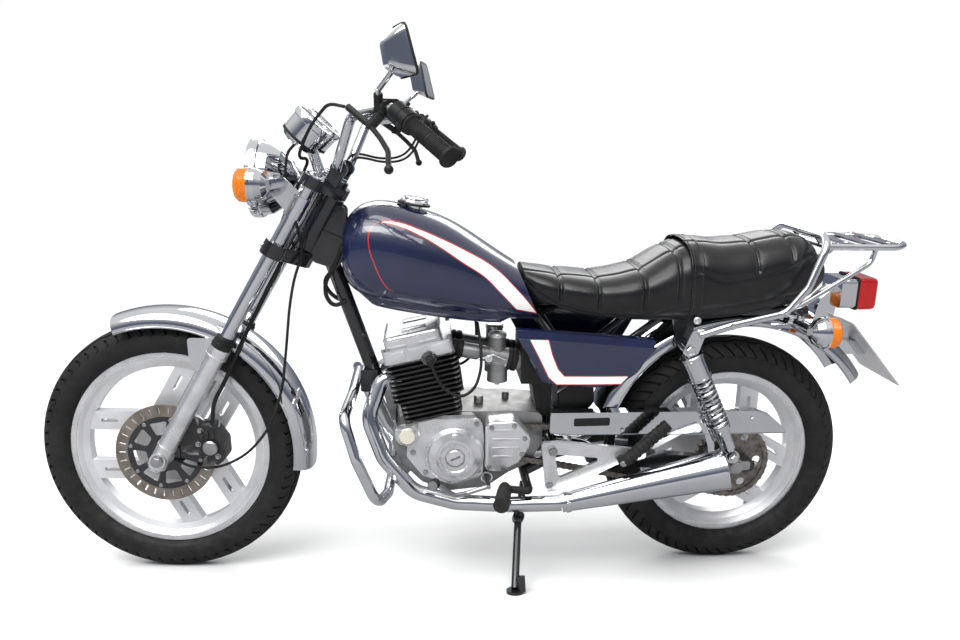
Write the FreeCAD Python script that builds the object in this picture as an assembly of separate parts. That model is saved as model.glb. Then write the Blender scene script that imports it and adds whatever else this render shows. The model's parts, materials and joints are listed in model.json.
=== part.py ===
import FreeCAD, Part
import math
import os

# Cruiser motorcycle, built upright and then leaned on its side stand.
# Upright frame in millimetres: +X to the rear, -Y to the rider's left, +Z up,
# zero on the ground under the rear axle.

# Stance
wheelbase = 1385.0
rake_deg = 29.5
trail = 126.0
lean_deg = 10.5
rest_steer_deg = -4.4
steer_lock_deg = 40.0

# Wheels and tyres
front_tyre_radius = 318.0
front_tyre_half_width = 46.0
front_tyre_height = 75.5
front_rim_half_width = 30.0
rear_tyre_radius = 302.0
rear_tyre_half_width = 58.0
rear_tyre_height = 86.0
rear_rim_half_width = 37.0
rim_depth = 38.0
flange_thickness = 3.0
arm_offset = 64.0
arm_width = 48.0
arm_half_thickness = 13.0
arm_slot_length = 42.0
arm_slot_width = 9.0
web_radius = 94.0
web_half_thickness = 12.0
front_hub_radius = 44.0
rear_hub_radius = 62.0
front_axle_radius = 8.0
rear_axle_radius = 8.5
running_gap = 0.3
seat_gap = 0.3

# Brake disc and caliper
disc_radius = 121.0
disc_ring_width = 30.0
disc_thickness = 5.0
disc_y = -57.0

# Fork
fork_half_width = 90.0
stanchion_radius = 16.5
slider_radius = 22.0
slider_length = 315.0
slider_overlap = 26.0
fork_top = 768.0
upper_clamp_thickness = 26.0
lower_clamp_bottom = 562.0
lower_clamp_thickness = 34.0
stem_radius = 13.0
head_tube_radius = 30.0
front_axle_half_length = 123.0

# Headlamp, lamps and instruments
headlamp_radius = 89.0
headlamp_x = -1150.0
headlamp_z = 976.0
headlamp_depth = 92.0
lens_bulge = 14.0
indicator_radius = 37.0
indicator_lens_depth = 34.0
indicator_body_depth = 34.0
front_indicator_x = -1118.0
front_indicator_y = 190.0
front_indicator_z = 969.0
rear_indicator_x = 160.0
rear_indicator_y = 165.0
rear_indicator_z = 655.0
stalk_radius = 12.0
cup_radius = 47.0
cup_depth = 66.0
cup_tilt_deg = 47.0
cup_half_spacing = 58.0
cup_face_x = -1008.0
cup_face_z = 1104.0

# Handlebar
bar_radius = 11.1
riser_half_spacing = 48.0
bar_clamp_n = 36.0
bar_clamp_s = 806.0
bar_rise_x = -915.0
bar_rise_y = 135.0
bar_rise_z = 1116.0
bar_bend_x = -811.0
bar_bend_y = 279.0
bar_bend_z = 1127.0
bar_end_x = -694.0
bar_end_y = 400.0
bar_end_z = 1036.0
grip_length = 128.0
grip_radius = 16.5

# Bodywork
tank_wall = 1.4
fender_thickness = 1.8
front_fender_gap = 34.0
front_fender_half_width = 60.0
front_fender_front_deg = -20.0
front_fender_rear_deg = 97.0
rear_fender_gap = 73.0
rear_fender_half_width = 68.0
rear_fender_x = 20.0
rear_fender_rise = 10.0
rear_fender_front_deg = -72.0
rear_fender_rear_deg = 56.0
fender_depth = 42.0

# Frame and rear suspension
downtube_radius = 18.0
backbone_radius = 24.0
rail_radius = 12.0
rail_half_spacing = 86.0
rail_z = 690.0
swingarm_pivot_x = -410.0
swingarm_pivot_z = 334.0
post_x = -446.0
post_y = 50.0
post_radius = 13.0
peg_cross_x = -516.0
peg_cross_z = 262.0
peg_cross_half = 150.0
bracket_inner_y = 122.0
swingarm_half_spacing = 106.0
swingarm_tube_height = 40.0
swingarm_tube_width = 24.0
shock_y = 136.0
shock_top_x = -149.0
shock_top_z = 609.0
shock_bottom_x = -19.0
shock_bottom_z = 338.0

# Chain drive
chain_pitch = 15.875
rear_teeth = 36
front_teeth = 15
roller_radius = 5.08
sprocket_y = -80.5
sprocket_thickness = 7.0
chain_inner_width = 9.4
chain_plate = 1.6
front_sprocket_x = -560.0
front_sprocket_z = 356.0

# Engine
engine_tilt_deg = 13.0
crank_half_width = 96.0
cylinder_x = -742.0
cylinder_z = 418.0
fin_half_width = 100.0
fin_length = 172.0
airbox_front = -533.0
fin_pitch = 12.0
fin_thickness = 3.2
fin_count = 13
header_radius = 18.5
pipe_wall = 1.6
muffler_radius = 48.0
muffler_y = 192.0

# Side stand
stand_pivot_x = -534.0
stand_pivot_y = -124.0
stand_pivot_z = 174.0
stand_foot_x = -552.0
stand_fold_deg = 88.0

# Luggage rack
rack_half_width = 102.0
rack_front_x = 176.0
rack_rear_x = 392.0
rack_z = 846.0
rack_tube_radius = 7.5
rack_bolt_radius = 3.25
rack_slat_pitch = 52.0

front_rim_radius = front_tyre_radius - front_tyre_height
rear_rim_radius = rear_tyre_radius - rear_tyre_height
front_fender_radius = front_tyre_radius + front_fender_gap
rear_fender_radius = rear_tyre_radius + rear_fender_gap
rear_fender_z = rear_tyre_radius + rear_fender_rise
rake = math.radians(rake_deg)
lean = math.radians(lean_deg)
front_axle = FreeCAD.Vector(-wheelbase, 0, front_tyre_radius)
rear_axle = FreeCAD.Vector(0, 0, rear_tyre_radius)
fork_offset = (front_tyre_radius * math.tan(rake) - trail) * math.cos(rake)
right = FreeCAD.Vector(0, 1, 0)
both_sides = (-1, 1)


def vec(x, y, z):
    return FreeCAD.Vector(x, y, z)


def fused(shapes):
    """One shape from pieces that touch or cross."""
    whole = shapes[0].multiFuse(shapes[1:]) if len(shapes) > 1 else shapes[0]
    solids = whole.Solids
    return solids[0] if len(solids) == 1 else Part.makeCompound(solids)


def separate(shapes):
    """Several solids that share a node and don't touch."""
    solids = []
    for shape in shapes:
        solids.extend(shape.Solids)
    return Part.makeCompound(solids)


def cylinder(start, end, radius):
    run = end - start
    return Part.makeCylinder(radius, run.Length, start, run)


def cone(start, end, radius_start, radius_end):
    run = end - start
    return Part.makeCone(radius_start, radius_end, run.Length, start, run)


def ball(centre, radius):
    return Part.makeSphere(radius, centre)


def box(x0, x1, y0, y1, z0, z1):
    return Part.makeBox(x1 - x0, y1 - y0, z1 - z0, vec(x0, y0, z0))


def bent_path(points, bend):
    """Straight runs through the points, joined by tangent arcs."""
    edges = []
    start = points[0]
    for before_point, corner, after_point in zip(points, points[1:], points[2:]):
        before = before_point - corner
        after = after_point - corner
        half_turn = (math.pi - before.getAngle(after)) / 2
        if half_turn < 0.005:
            continue
        room = 0.45 * min(before.Length, after.Length)
        radius = min(bend, room / math.tan(half_turn))
        before.normalize()
        after.normalize()
        first = corner + before * (radius * math.tan(half_turn))
        last = corner + after * (radius * math.tan(half_turn))
        inward = (before + after).normalize()
        middle = corner + inward * (radius / math.cos(half_turn) - radius)
        edges.append(Part.LineSegment(start, first).toShape())
        edges.append(Part.Arc(first, middle, last).toShape())
        start = last
    edges.append(Part.LineSegment(start, points[-1]).toShape())
    return Part.Wire(edges)


def tube(points, radius, bend):
    """Round bar or tube along straight runs and tangent arcs."""
    path = bent_path(points, bend)
    ring = Part.Wire(Part.makeCircle(radius, points[0], points[1] - points[0]))
    return path.makePipeShell([ring], True, False)


def rounded_face(corners, radius):
    """Flat face through the corners, each rounded; radius is one value or one per corner."""
    count = len(corners)
    radii = radius if isinstance(radius, (list, tuple)) else [radius] * count
    stops = []
    for i, corner in enumerate(corners):
        before = corners[i - 1] - corner
        after = corners[(i + 1) % count] - corner
        half_turn = (math.pi - before.getAngle(after)) / 2
        room = 0.47 * min(before.Length, after.Length)
        size = min(radii[i], room / max(math.tan(half_turn), 1e-6))
        before.normalize()
        after.normalize()
        set_back = size * math.tan(half_turn)
        inward = (before + after).normalize()
        middle = corner + inward * (size / math.cos(half_turn) - size)
        stops.append((corner + before * set_back, middle, corner + after * set_back))
    edges = []
    for i, (first, middle, last) in enumerate(stops):
        if (last - first).Length > 1e-6:
            edges.append(Part.Arc(first, middle, last).toShape())
        edges.append(Part.LineSegment(last, stops[(i + 1) % count][0]).toShape())
    return Part.Face(Part.Wire(edges))


def side_plate(outline, radius, y0, y1):
    """Plate with an outline of (x, z) corners, between two heights across the bike."""
    face = rounded_face([vec(x, y0, z) for x, z in outline], radius)
    return face.extrude(vec(0, y1 - y0, 0))


def level_plate(outline, radius, z0, z1):
    """Plate with an outline of (x, y) corners, between two levels."""
    face = rounded_face([vec(x, y, z0) for x, y in outline], radius)
    return face.extrude(vec(0, 0, z1 - z0))


def turned(profile, centre, axis, degrees=360.0):
    """Solid of revolution from (along, radius) corners about an axis through the centre."""
    side = vec(0, 0, 1) if abs(axis.z) < 0.9 else vec(1, 0, 0)
    out = side - axis * side.dot(axis)
    out.normalize()
    points = [centre + axis * along + out * radius for along, radius in profile]
    wire = Part.makePolygon(points + [points[0]])
    return Part.Face(wire).revolve(centre, axis, degrees)


def section(x, half_width, widest_z, top, bottom, fullness, count=20):
    """Closed smooth curve across a body at x, rounder with a lower fullness."""
    points = []
    for k in range(count):
        angle = 2 * math.pi * k / count
        across = math.copysign(abs(math.cos(angle)) ** (2 / fullness), math.cos(angle))
        up = math.copysign(abs(math.sin(angle)) ** (2 / fullness), math.sin(angle))
        reach = top - widest_z if up >= 0 else widest_z - bottom
        points.append(vec(x, half_width * across, widest_z + reach * up))
    curve = Part.BSplineCurve()
    curve.interpolate(points, PeriodicFlag=True)
    return Part.Wire(curve.toShape())


def fork_point(n, y, s):
    """Point on the fork: n behind the leg line, s up along it from the axle."""
    return vec(front_axle.x + s * math.sin(rake) + n * math.cos(rake), y,
               front_axle.z + s * math.cos(rake) - n * math.sin(rake))


def on_fork(shape):
    """Carries a shape from the leg frame (n, y, s) to the upright frame."""
    placed = shape.copy()
    placed.Placement = FreeCAD.Placement(front_axle, FreeCAD.Rotation(right, rake_deg)).multiply(placed.Placement)
    return placed


def steering_axis():
    return fork_point(fork_offset, 0, 0), vec(math.sin(rake), 0, math.cos(rake))


def steered(shape):
    """Turns a piece of the steering group to its rest angle."""
    centre, axis = steering_axis()
    return shape.rotated(centre, axis, rest_steer_deg)


# Wheels

def tyre(centre, radius, half_width, rim_radius, rim_half_width):
    bead = rim_half_width - flange_thickness - seat_gap
    widest = radius - half_width
    shoulder = rim_radius + 1.0
    wall_r = (widest + shoulder) / 2 - 3.0
    wall_y = half_width - 0.22 * (half_width - bead)

    def at(y, r):
        return centre + vec(0, y, r)

    toe = rim_radius - 11.0
    edges = [
        Part.Arc(at(half_width, widest), at(0, radius), at(-half_width, widest)).toShape(),
        Part.Arc(at(-half_width, widest), at(-wall_y, wall_r), at(-bead, shoulder)).toShape(),
        Part.LineSegment(at(-bead, shoulder), at(-bead, toe)).toShape(),
        Part.LineSegment(at(-bead, toe), at(bead, toe)).toShape(),
        Part.LineSegment(at(bead, toe), at(bead, shoulder)).toShape(),
        Part.Arc(at(bead, shoulder), at(wall_y, wall_r), at(half_width, widest)).toShape(),
    ]
    return Part.Face(Part.Wire(edges)).revolve(centre, right, 360)


def rim(centre, radius, half_width):
    inside = half_width - flange_thickness
    seat = radius - 11.3
    bottom = radius - rim_depth
    profile = [
        (-half_width, radius), (-inside, radius), (-inside, seat), (inside, seat), (inside, radius),
        (half_width, radius), (half_width - 1, radius - 15), (half_width * 0.68, radius - 24),
        (arm_half_thickness, bottom), (-arm_half_thickness, bottom),
        (-half_width * 0.68, radius - 24), (-half_width + 1, radius - 15),
    ]
    return turned(profile, centre, right)


def arm_pair(centre, inner, outer, degrees):
    """Two parallel flat arms with a slot near the rim, pointing along one angle of the side view."""
    arms = []
    for side in both_sides:
        z = side * arm_offset
        low, high = z - arm_width / 2, z + arm_width / 2
        arm = side_plate([(inner, low), (outer, low), (outer, high), (inner, high)], 0.5,
                         -arm_half_thickness, arm_half_thickness)
        slot_end = math.sqrt(outer ** 2 - z ** 2) - 30.0
        slot_start = slot_end - arm_slot_length
        half = arm_slot_width / 2
        slot = side_plate([(slot_start, z - half), (slot_end, z - half), (slot_end, z + half), (slot_start, z + half)],
                          half, -arm_half_thickness - 1, arm_half_thickness + 1)
        arms.append(arm.cut(slot))
    pair = Part.makeCompound(arms)
    pair.rotate(vec(0, 0, 0), right, -degrees)
    pair.translate(centre)
    return pair.Solids


def wheel(centre, rim_radius, rim_half_width, hub_radius, hub_left, hub_right, bore, first_arm_deg):
    rim_ring = rim(centre, rim_radius, rim_half_width)
    inner_radius = rim_radius - rim_depth
    pieces = [rim_ring]
    for k in range(3):
        pieces.extend(arm_pair(centre, 40.0, inner_radius + 8.0, first_arm_deg + 120 * k))
    web = Part.makeCylinder(web_radius, 2 * web_half_thickness, centre - right * web_half_thickness, right)
    hub = Part.makeCylinder(hub_radius, hub_right - hub_left, centre + right * hub_left, right)
    whole = fused(pieces + [web, hub])
    keep = Part.makeCylinder(inner_radius + 5.0, 400, centre - right * 200, right)
    whole = fused([rim_ring, whole.common(keep)])
    hole = Part.makeCylinder(bore, 400, centre - right * 200, right)
    return whole.cut(hole)


def front_wheel():
    return wheel(front_axle, front_rim_radius, front_rim_half_width, front_hub_radius,
                 disc_y + disc_thickness / 2 + seat_gap, 50.0, front_axle_radius + running_gap, 180.0)


def rear_wheel():
    return wheel(rear_axle, rear_rim_radius, rear_rim_half_width, rear_hub_radius,
                 sprocket_y + sprocket_thickness / 2 + seat_gap, 70.0, rear_axle_radius + running_gap, 90.0)


def front_tyre():
    return tyre(front_axle, front_tyre_radius, front_tyre_half_width, front_rim_radius, front_rim_half_width)


def rear_tyre():
    return tyre(rear_axle, rear_tyre_radius, rear_tyre_half_width, rear_rim_radius, rear_rim_half_width)


def brake_disc():
    y0 = disc_y - disc_thickness / 2
    ring = Part.makeCylinder(disc_radius, disc_thickness, front_axle + right * y0, right)
    ring = ring.cut(Part.makeCylinder(front_axle_radius + 6.0, disc_thickness, front_axle + right * y0, right))
    inner = disc_radius - disc_ring_width
    slots = []
    for k in range(8):
        slot = Part.makeCylinder(12.0, disc_thickness + 2, vec(0.5 * inner + 22.0, y0 - 1, 0), right)
        slot.rotate(vec(0, 0, 0), right, 45.0 * k + 11.0)
        slot.translate(vec(front_axle.x, 0, front_axle.z))
        slots.append(slot)
    return ring.cut(Part.makeCompound(slots))


def sprocket_outline():
    """Corners of a 36-tooth rim: a pocket for each roller and a blunt tip between pockets."""
    pitch_radius = chain_pitch / (2 * math.sin(math.pi / rear_teeth))
    pocket = pitch_radius - roller_radius - 0.5
    tooth = [(-3.9, pitch_radius), (-2.7, pocket + 1.5), (0.0, pocket), (2.7, pocket + 1.5),
             (3.9, pitch_radius), (4.6, pitch_radius + 3.6), (5.4, pitch_radius + 3.6)]
    step = 360.0 / rear_teeth
    corners = []
    for k in range(rear_teeth):
        for degrees, radius in tooth:
            angle = math.radians(degrees * step / 10.0 + k * step)
            corners.append((radius * math.sin(angle), radius * math.cos(angle)))
    return corners


def rear_sprocket():
    y0 = sprocket_y - sprocket_thickness / 2
    points = [rear_axle + vec(x, y0, z) for x, z in sprocket_outline()]
    plate = Part.Face(Part.makePolygon(points + [points[0]])).extrude(right * sprocket_thickness)
    cuts = [Part.makeCylinder(rear_axle_radius + 12.0, 40, rear_axle + right * (y0 - 10), right)]
    for k in range(6):
        angle = math.radians(60 * k + 30)
        spot = rear_axle + vec(68 * math.sin(angle), y0 - 10, 68 * math.cos(angle))
        cuts.append(Part.makeCylinder(11.0, 40, spot, right))
    return plate.cut(Part.makeCompound(cuts))


# Steering group, built straight ahead

def fork_tubes():
    tubes = []
    for side in both_sides:
        y = side * fork_half_width
        bar = cylinder(vec(0, y, slider_length - slider_overlap), vec(0, y, fork_top), stanchion_radius)
        cap = cone(vec(0, y, fork_top), vec(0, y, fork_top + 8.0), stanchion_radius - 2.5, stanchion_radius - 5.0)
        tubes.append(on_fork(fused([bar, cap])))
    return separate(tubes)


def fork_sliders():
    sliders = []
    for side in both_sides:
        y = side * fork_half_width
        body = cylinder(vec(0, y, -24.0), vec(0, y, slider_length), slider_radius)
        collar = cylinder(vec(0, y, slider_length - 26.0), vec(0, y, slider_length), slider_radius + 3.0)
        foot = cone(vec(0, y, -34.0), vec(0, y, -24.0), slider_radius - 7.0, slider_radius - 1.0)
        boss = Part.makeCylinder(slider_radius - 3.0, 12.0, vec(0, y - 6.0 + side * 18.0, 0), right)
        whole = fused([body, collar, foot, boss])
        bore = cylinder(vec(0, y, slider_length - slider_overlap - 3.0), vec(0, y, slider_length + 5.0),
                        stanchion_radius + seat_gap)
        axle_hole = Part.makeCylinder(front_axle_radius + seat_gap, 120, vec(0, y - 60, 0), right)
        sliders.append(on_fork(whole.cut(bore).cut(axle_hole)))
    return separate(sliders)


def clamp_plate(s0, s1, leg_radius, stem_boss):
    """Fork clamp: two leg rings and the stem boss joined by a waisted plate."""
    outline = [(-leg_radius + 6, -fork_half_width), (-leg_radius + 12, 0), (-leg_radius + 6, fork_half_width),
               (leg_radius - 4, fork_half_width), (fork_offset + stem_boss - 4, 22), (fork_offset + stem_boss - 4, -22),
               (leg_radius - 4, -fork_half_width)]
    plate = level_plate(outline, 12.0, s0, s1)
    rings = [cylinder(vec(0, side * fork_half_width, s0), vec(0, side * fork_half_width, s1), leg_radius)
             for side in both_sides]
    boss = cylinder(vec(fork_offset, 0, s0), vec(fork_offset, 0, s1), stem_boss)
    whole = fused([plate, boss] + rings)
    holes = [cylinder(vec(0, side * fork_half_width, s0 - 5), vec(0, side * fork_half_width, s1 + 5),
                      stanchion_radius + seat_gap) for side in both_sides]
    return whole.cut(Part.makeCompound(holes))


def fork_clamps():
    """Upper and lower clamps on the one steering stem, with the bar risers."""
    upper = clamp_plate(fork_top - upper_clamp_thickness, fork_top, 26.0, 30.0)
    lower = clamp_plate(lower_clamp_bottom, lower_clamp_bottom + lower_clamp_thickness, 27.0, 32.0)
    stem = cylinder(vec(fork_offset, 0, lower_clamp_bottom), vec(fork_offset, 0, fork_top + 14.0), stem_radius)
    nut = Part.makeCylinder(19.0, 12.0, vec(fork_offset, 0, fork_top), vec(0, 0, 1))
    pieces = [upper, lower, stem, nut]
    for side in both_sides:
        y = side * riser_half_spacing
        foot = level_plate([(bar_clamp_n - 17, y - 13), (bar_clamp_n + 17, y - 13), (bar_clamp_n + 17, y + 13),
                            (bar_clamp_n - 17, y + 13)], 6.0, fork_top - 1, bar_clamp_s + 4.0)
        cap = Part.makeCylinder(19.0, 26.0, vec(bar_clamp_n, y - 13.0, bar_clamp_s), right)
        pieces.extend([foot, cap])
    whole = fused(pieces)
    bar_hole = Part.makeCylinder(bar_radius + seat_gap, 200, vec(bar_clamp_n, -100, bar_clamp_s), right)
    return on_fork(whole.cut(bar_hole))


def front_axle_bar():
    half = front_axle_half_length
    bar = Part.makeCylinder(front_axle_radius, 2 * half, front_axle - right * half, right)
    left_spacer = Part.makeCylinder(13.0, fork_half_width - slider_radius + disc_y - seat_gap,
                                    front_axle - right * (fork_half_width - slider_radius - seat_gap), right)
    drive = Part.makeCylinder(24.0, 6.5, front_axle - right * (fork_half_width - slider_radius - seat_gap), right)
    right_spacer = Part.makeCylinder(17.0, fork_half_width - slider_radius - 50.0 - 2 * seat_gap,
                                     front_axle + right * (50.0 + seat_gap), right)
    head_length = half - fork_half_width - slider_radius - 2.0 - seat_gap
    head = Part.makeCylinder(13.0, head_length, front_axle - right * half, right)
    nut = Part.makeCylinder(14.0, head_length, front_axle + right * (half - head_length), right)
    return fused([bar, left_spacer, drive, right_spacer, head, nut])


def fender_section(radius, half_width, depth, thickness):
    """Cross-section of a crowned mudguard, as (y, r) points of its outer and inner arcs."""
    outer = [(-half_width, radius - depth), (-half_width * 0.82, radius - depth * 0.3), (0, radius),
             (half_width * 0.82, radius - depth * 0.3), (half_width, radius - depth)]
    inner = [(y * (1 - thickness / half_width), r - thickness if abs(y) < half_width else r) for y, r in outer]
    return outer, inner


def fender(centre, radius, half_width, depth, thickness, front_deg, rear_deg):
    outer, inner = fender_section(radius, half_width, depth, thickness)

    def at(point):
        return centre + vec(0, point[0], point[1])

    def bow(points):
        curve = Part.BSplineCurve()
        curve.interpolate([at(p) for p in points])
        return curve.toShape()

    edges = [bow(outer), Part.LineSegment(at(outer[-1]), at(inner[-1])).toShape(),
             bow(list(reversed(inner))), Part.LineSegment(at(inner[0]), at(outer[0])).toShape()]
    face = Part.Face(Part.Wire(edges))
    face.rotate(centre, right, front_deg)
    return face.revolve(centre, right, rear_deg - front_deg)


def front_fender():
    shell = fender(front_axle, front_fender_radius, front_fender_half_width, fender_depth, fender_thickness,
                   front_fender_front_deg, front_fender_rear_deg)
    pieces = [shell]
    edge_y = front_fender_half_width - 1.2
    for side in both_sides:
        outline = [(-1318, 606), (-1262, 606), (-1236, 572), (-1240, 536), (-1296, 514), (-1316, 560)]
        y = side * edge_y
        pieces.append(side_plate(outline, 8.0, min(y, y + side * 3.0), max(y, y + side * 3.0)))
        for s in (238.0, 268.0):
            spot = fork_point(0, y, s)
            end = side * (fork_half_width - slider_radius - seat_gap)
            pieces.append(Part.makeCylinder(7.0, abs(end - y), vec(spot.x, min(y, end), spot.z), right))
    return fused(pieces)


def headlamp():
    """Chrome bowl of the headlamp with its rim ring, open at the front."""
    centre = vec(headlamp_x, 0, headlamp_z)
    r = headlamp_radius
    d = headlamp_depth
    outer = [(-10, r - 3), (-10, r), (10, r), (12, r - 4), (0.35 * d, r - 8), (0.62 * d, r - 24),
             (0.85 * d, r - 48), (d, r - 76), (d, 0)]
    inner = [(d - 3, 0), (d - 3, r - 78), (0.84 * d, r - 51), (0.61 * d, r - 27), (0.35 * d, r - 11), (0, r - 7)]
    return turned(outer + inner, centre, vec(1, 0, 0))


def headlamp_lens():
    centre = vec(headlamp_x, 0, headlamp_z)
    r = headlamp_radius - 4.6
    profile = [(-1.5, 0), (-1.5, r - 4), (-3.5, r - 2), (-8, r), (-10 - 0.35 * lens_bulge, r * 0.8),
               (-10 - 0.75 * lens_bulge, r * 0.5), (-10 - lens_bulge, 0)]
    return turned(profile, centre, vec(1, 0, 0))


def lamp_bracket():
    """Chrome ears from the fork tubes to the sides of the headlamp, carrying the front indicators."""
    pieces = []
    for side in both_sides:
        y = side * (fork_half_width + 12.0)
        outline = [(-1138, 1000), (-1080, 992), (-1036, 952), (-1028, 908), (-1058, 898), (-1104, 950), (-1134, 958)]
        plate = side_plate(outline, 10.0, y - 2.5, y + 2.5)
        leg = vec(0, side * fork_half_width, 0)
        sleeve = on_fork(cylinder(leg + vec(0, 0, 664), leg + vec(0, 0, 716), stanchion_radius + 4.5))
        stud = Part.makeCylinder(9.0, 34.0, vec(-1122, y - 17 - side * 17.0, headlamp_z), right)
        stalk = Part.makeCylinder(stalk_radius, front_indicator_y - fork_half_width - 40.0,
                                  vec(front_indicator_x + 24.0, min(y, side * (front_indicator_y - 28.0)),
                                      front_indicator_z), right)
        ear = fused([plate, sleeve, stud, stalk])
        hole = on_fork(cylinder(leg + vec(0, 0, 600), leg + vec(0, 0, 780), stanchion_radius + seat_gap))
        ear = ear.cut(hole)
        bowl = turned([(-12, 0), (-12, headlamp_radius + 0.4), (14, headlamp_radius + 0.4), (0.35 * headlamp_depth,
                       headlamp_radius - 7.6), (0.62 * headlamp_depth, headlamp_radius - 23.6), (0.62 * headlamp_depth, 0)],
                      vec(headlamp_x, 0, headlamp_z), vec(1, 0, 0))
        pieces.append(ear.cut(bowl))
    return separate(pieces)


def indicator_body(x, y, z, facing):
    """Chrome bowl of an indicator; facing is -1 to the front, +1 to the rear."""
    r = indicator_radius
    d = indicator_body_depth
    profile = [(0, 0), (0, r), (-0.35 * d, r - 1.5), (-0.75 * d, r - 10), (-d, r - 22), (-d, 0)]
    return turned(profile, vec(x, y, z), vec(facing, 0, 0))


def indicator_lens(x, y, z, facing):
    r = indicator_radius - 0.5
    d = indicator_lens_depth
    profile = [(seat_gap, 0), (seat_gap, r), (0.62 * d, r - 2), (0.9 * d, r - 7), (d, r - 16), (d, 0)]
    return turned(profile, vec(x, y, z), vec(facing, 0, 0))


def front_indicators():
    bodies = []
    for side in both_sides:
        body = indicator_body(front_indicator_x, side * front_indicator_y, front_indicator_z, -1)
        inner = side * (front_indicator_y - 28.0)
        cut = Part.makeCylinder(stalk_radius + seat_gap, 30.0,
                                vec(front_indicator_x + 24.0, inner - 15.0 - side * (15.0 - seat_gap),
                                    front_indicator_z), right)
        bodies.append(body.cut(cut))
    return separate(bodies)


def front_indicator_lenses():
    return separate([indicator_lens(front_indicator_x, side * front_indicator_y, front_indicator_z, -1)
                     for side in both_sides])


def cup_axis():
    tilt = math.radians(cup_tilt_deg)
    return vec(math.cos(tilt), 0, math.sin(tilt))


def instruments():
    """Two instrument cups on one bracket plate that sits on the upper clamp."""
    axis = cup_axis()
    cups = []
    for side in both_sides:
        face = vec(cup_face_x, side * cup_half_spacing, cup_face_z)
        profile = [(0, cup_radius - 5), (0, cup_radius), (-10, cup_radius), (-12, cup_radius - 2),
                   (-cup_depth + 14, cup_radius - 3), (-cup_depth + 4, cup_radius - 12), (-cup_depth, cup_radius - 24),
                   (-cup_depth, 0), (-6, 0), (-6, cup_radius - 5)]
        cups.append(turned(profile, face, axis))
    middle = vec(cup_face_x, 0, cup_face_z) - axis * (cup_depth - 22.0)
    bridge = Part.makeBox(20, 2 * cup_half_spacing - 50.0, 18)
    bridge.Placement = FreeCAD.Placement(middle + vec(-6, -(cup_half_spacing - 25.0), -16),
                                         FreeCAD.Rotation(right, -10))
    posts = [cylinder(vec(middle.x + 3, side * 24.0, middle.z - 2), fork_point(4.0, side * 24.0, fork_top - 6.0), 8.0)
             for side in both_sides]
    below = on_fork(box(-60, 60, -90, 90, fork_top - 60.0, fork_top + seat_gap))
    return fused(cups + [bridge] + posts).cut(below)


def instrument_faces():
    axis = cup_axis()
    faces = []
    for side in both_sides:
        face = vec(cup_face_x, side * cup_half_spacing, cup_face_z)
        start = face - axis * (6.0 - seat_gap)
        faces.append(Part.makeCylinder(cup_radius - 5.0 - seat_gap, 4.0, start, axis))
    return separate(faces)


def bar_points(side):
    """Route of one half of the handlebar, from its middle to its end."""
    clamp = fork_point(bar_clamp_n, 0, bar_clamp_s)
    return [clamp, clamp + vec(0, side * (riser_half_spacing + 44.0), 0),
            vec(bar_rise_x, side * bar_rise_y, bar_rise_z), vec(bar_bend_x, side * bar_bend_y, bar_bend_z),
            vec(bar_end_x, side * bar_end_y, bar_end_z)]


def handlebar():
    route = list(reversed(bar_points(-1)))[:-1] + bar_points(1)[1:]
    return tube(route, bar_radius, 42.0)


def bar_end_run(side):
    """End of the bar and the direction back along its last run."""
    points = bar_points(side)
    inward = points[-2] - points[-1]
    inward.normalize()
    return points[-1], inward


def on_bar(side, start, end, radius):
    """Sleeve round the last run of the bar, from start to end inwards from the tip."""
    tip, inward = bar_end_run(side)
    sleeve = cylinder(tip + inward * start, tip + inward * end, radius)
    return sleeve


def bar_bore(side):
    tip, inward = bar_end_run(side)
    return cylinder(tip - inward * 30.0, tip + inward * 230.0, bar_radius + seat_gap)


def grips():
    sides = []
    for side in both_sides:
        tip, inward = bar_end_run(side)
        profile = [(-3, 0), (-3, grip_radius + 3), (0, grip_radius + 5), (5, grip_radius + 5), (8, grip_radius),
                   (grip_length - 9, grip_radius), (grip_length - 6, grip_radius + 5), (grip_length, grip_radius + 5),
                   (grip_length, bar_radius + seat_gap), (-seat_gap, bar_radius + seat_gap), (-seat_gap, 0)]
        sides.append(turned(profile, tip, inward))
    return separate(sides)


def perch_point(side, inwards):
    """Point of the bar on its upper run, this far inwards from the bend."""
    points = bar_points(side)
    way = points[-3] - points[-2]
    way.normalize()
    return points[-2] + way * inwards


def lever_pivot(side):
    return perch_point(side, 30.0) + vec(-30, -side * 4.0, -32)


def hand_lever(side):
    """Ball-ended lever from its pivot, curving down and outwards ahead of the grip."""
    pivot = lever_pivot(side)
    tip = bar_end_run(side)[0]
    reach = [pivot, pivot + vec(24, side * 38.0, -24), pivot + vec(44, side * 84.0, -48), tip + vec(-114, -side * 15.0, -24)]
    return fused([tube(reach, 5.5, 60.0), ball(reach[-1], 9.0), cylinder(pivot - vec(2, 0, 7), pivot + vec(2, 0, 7), 10.0)])


def cable_seat(side):
    """End of the lever bracket where the control cable enters."""
    return perch_point(side, 96.0) + vec(-44, -side * 4.0, 10)


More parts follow.
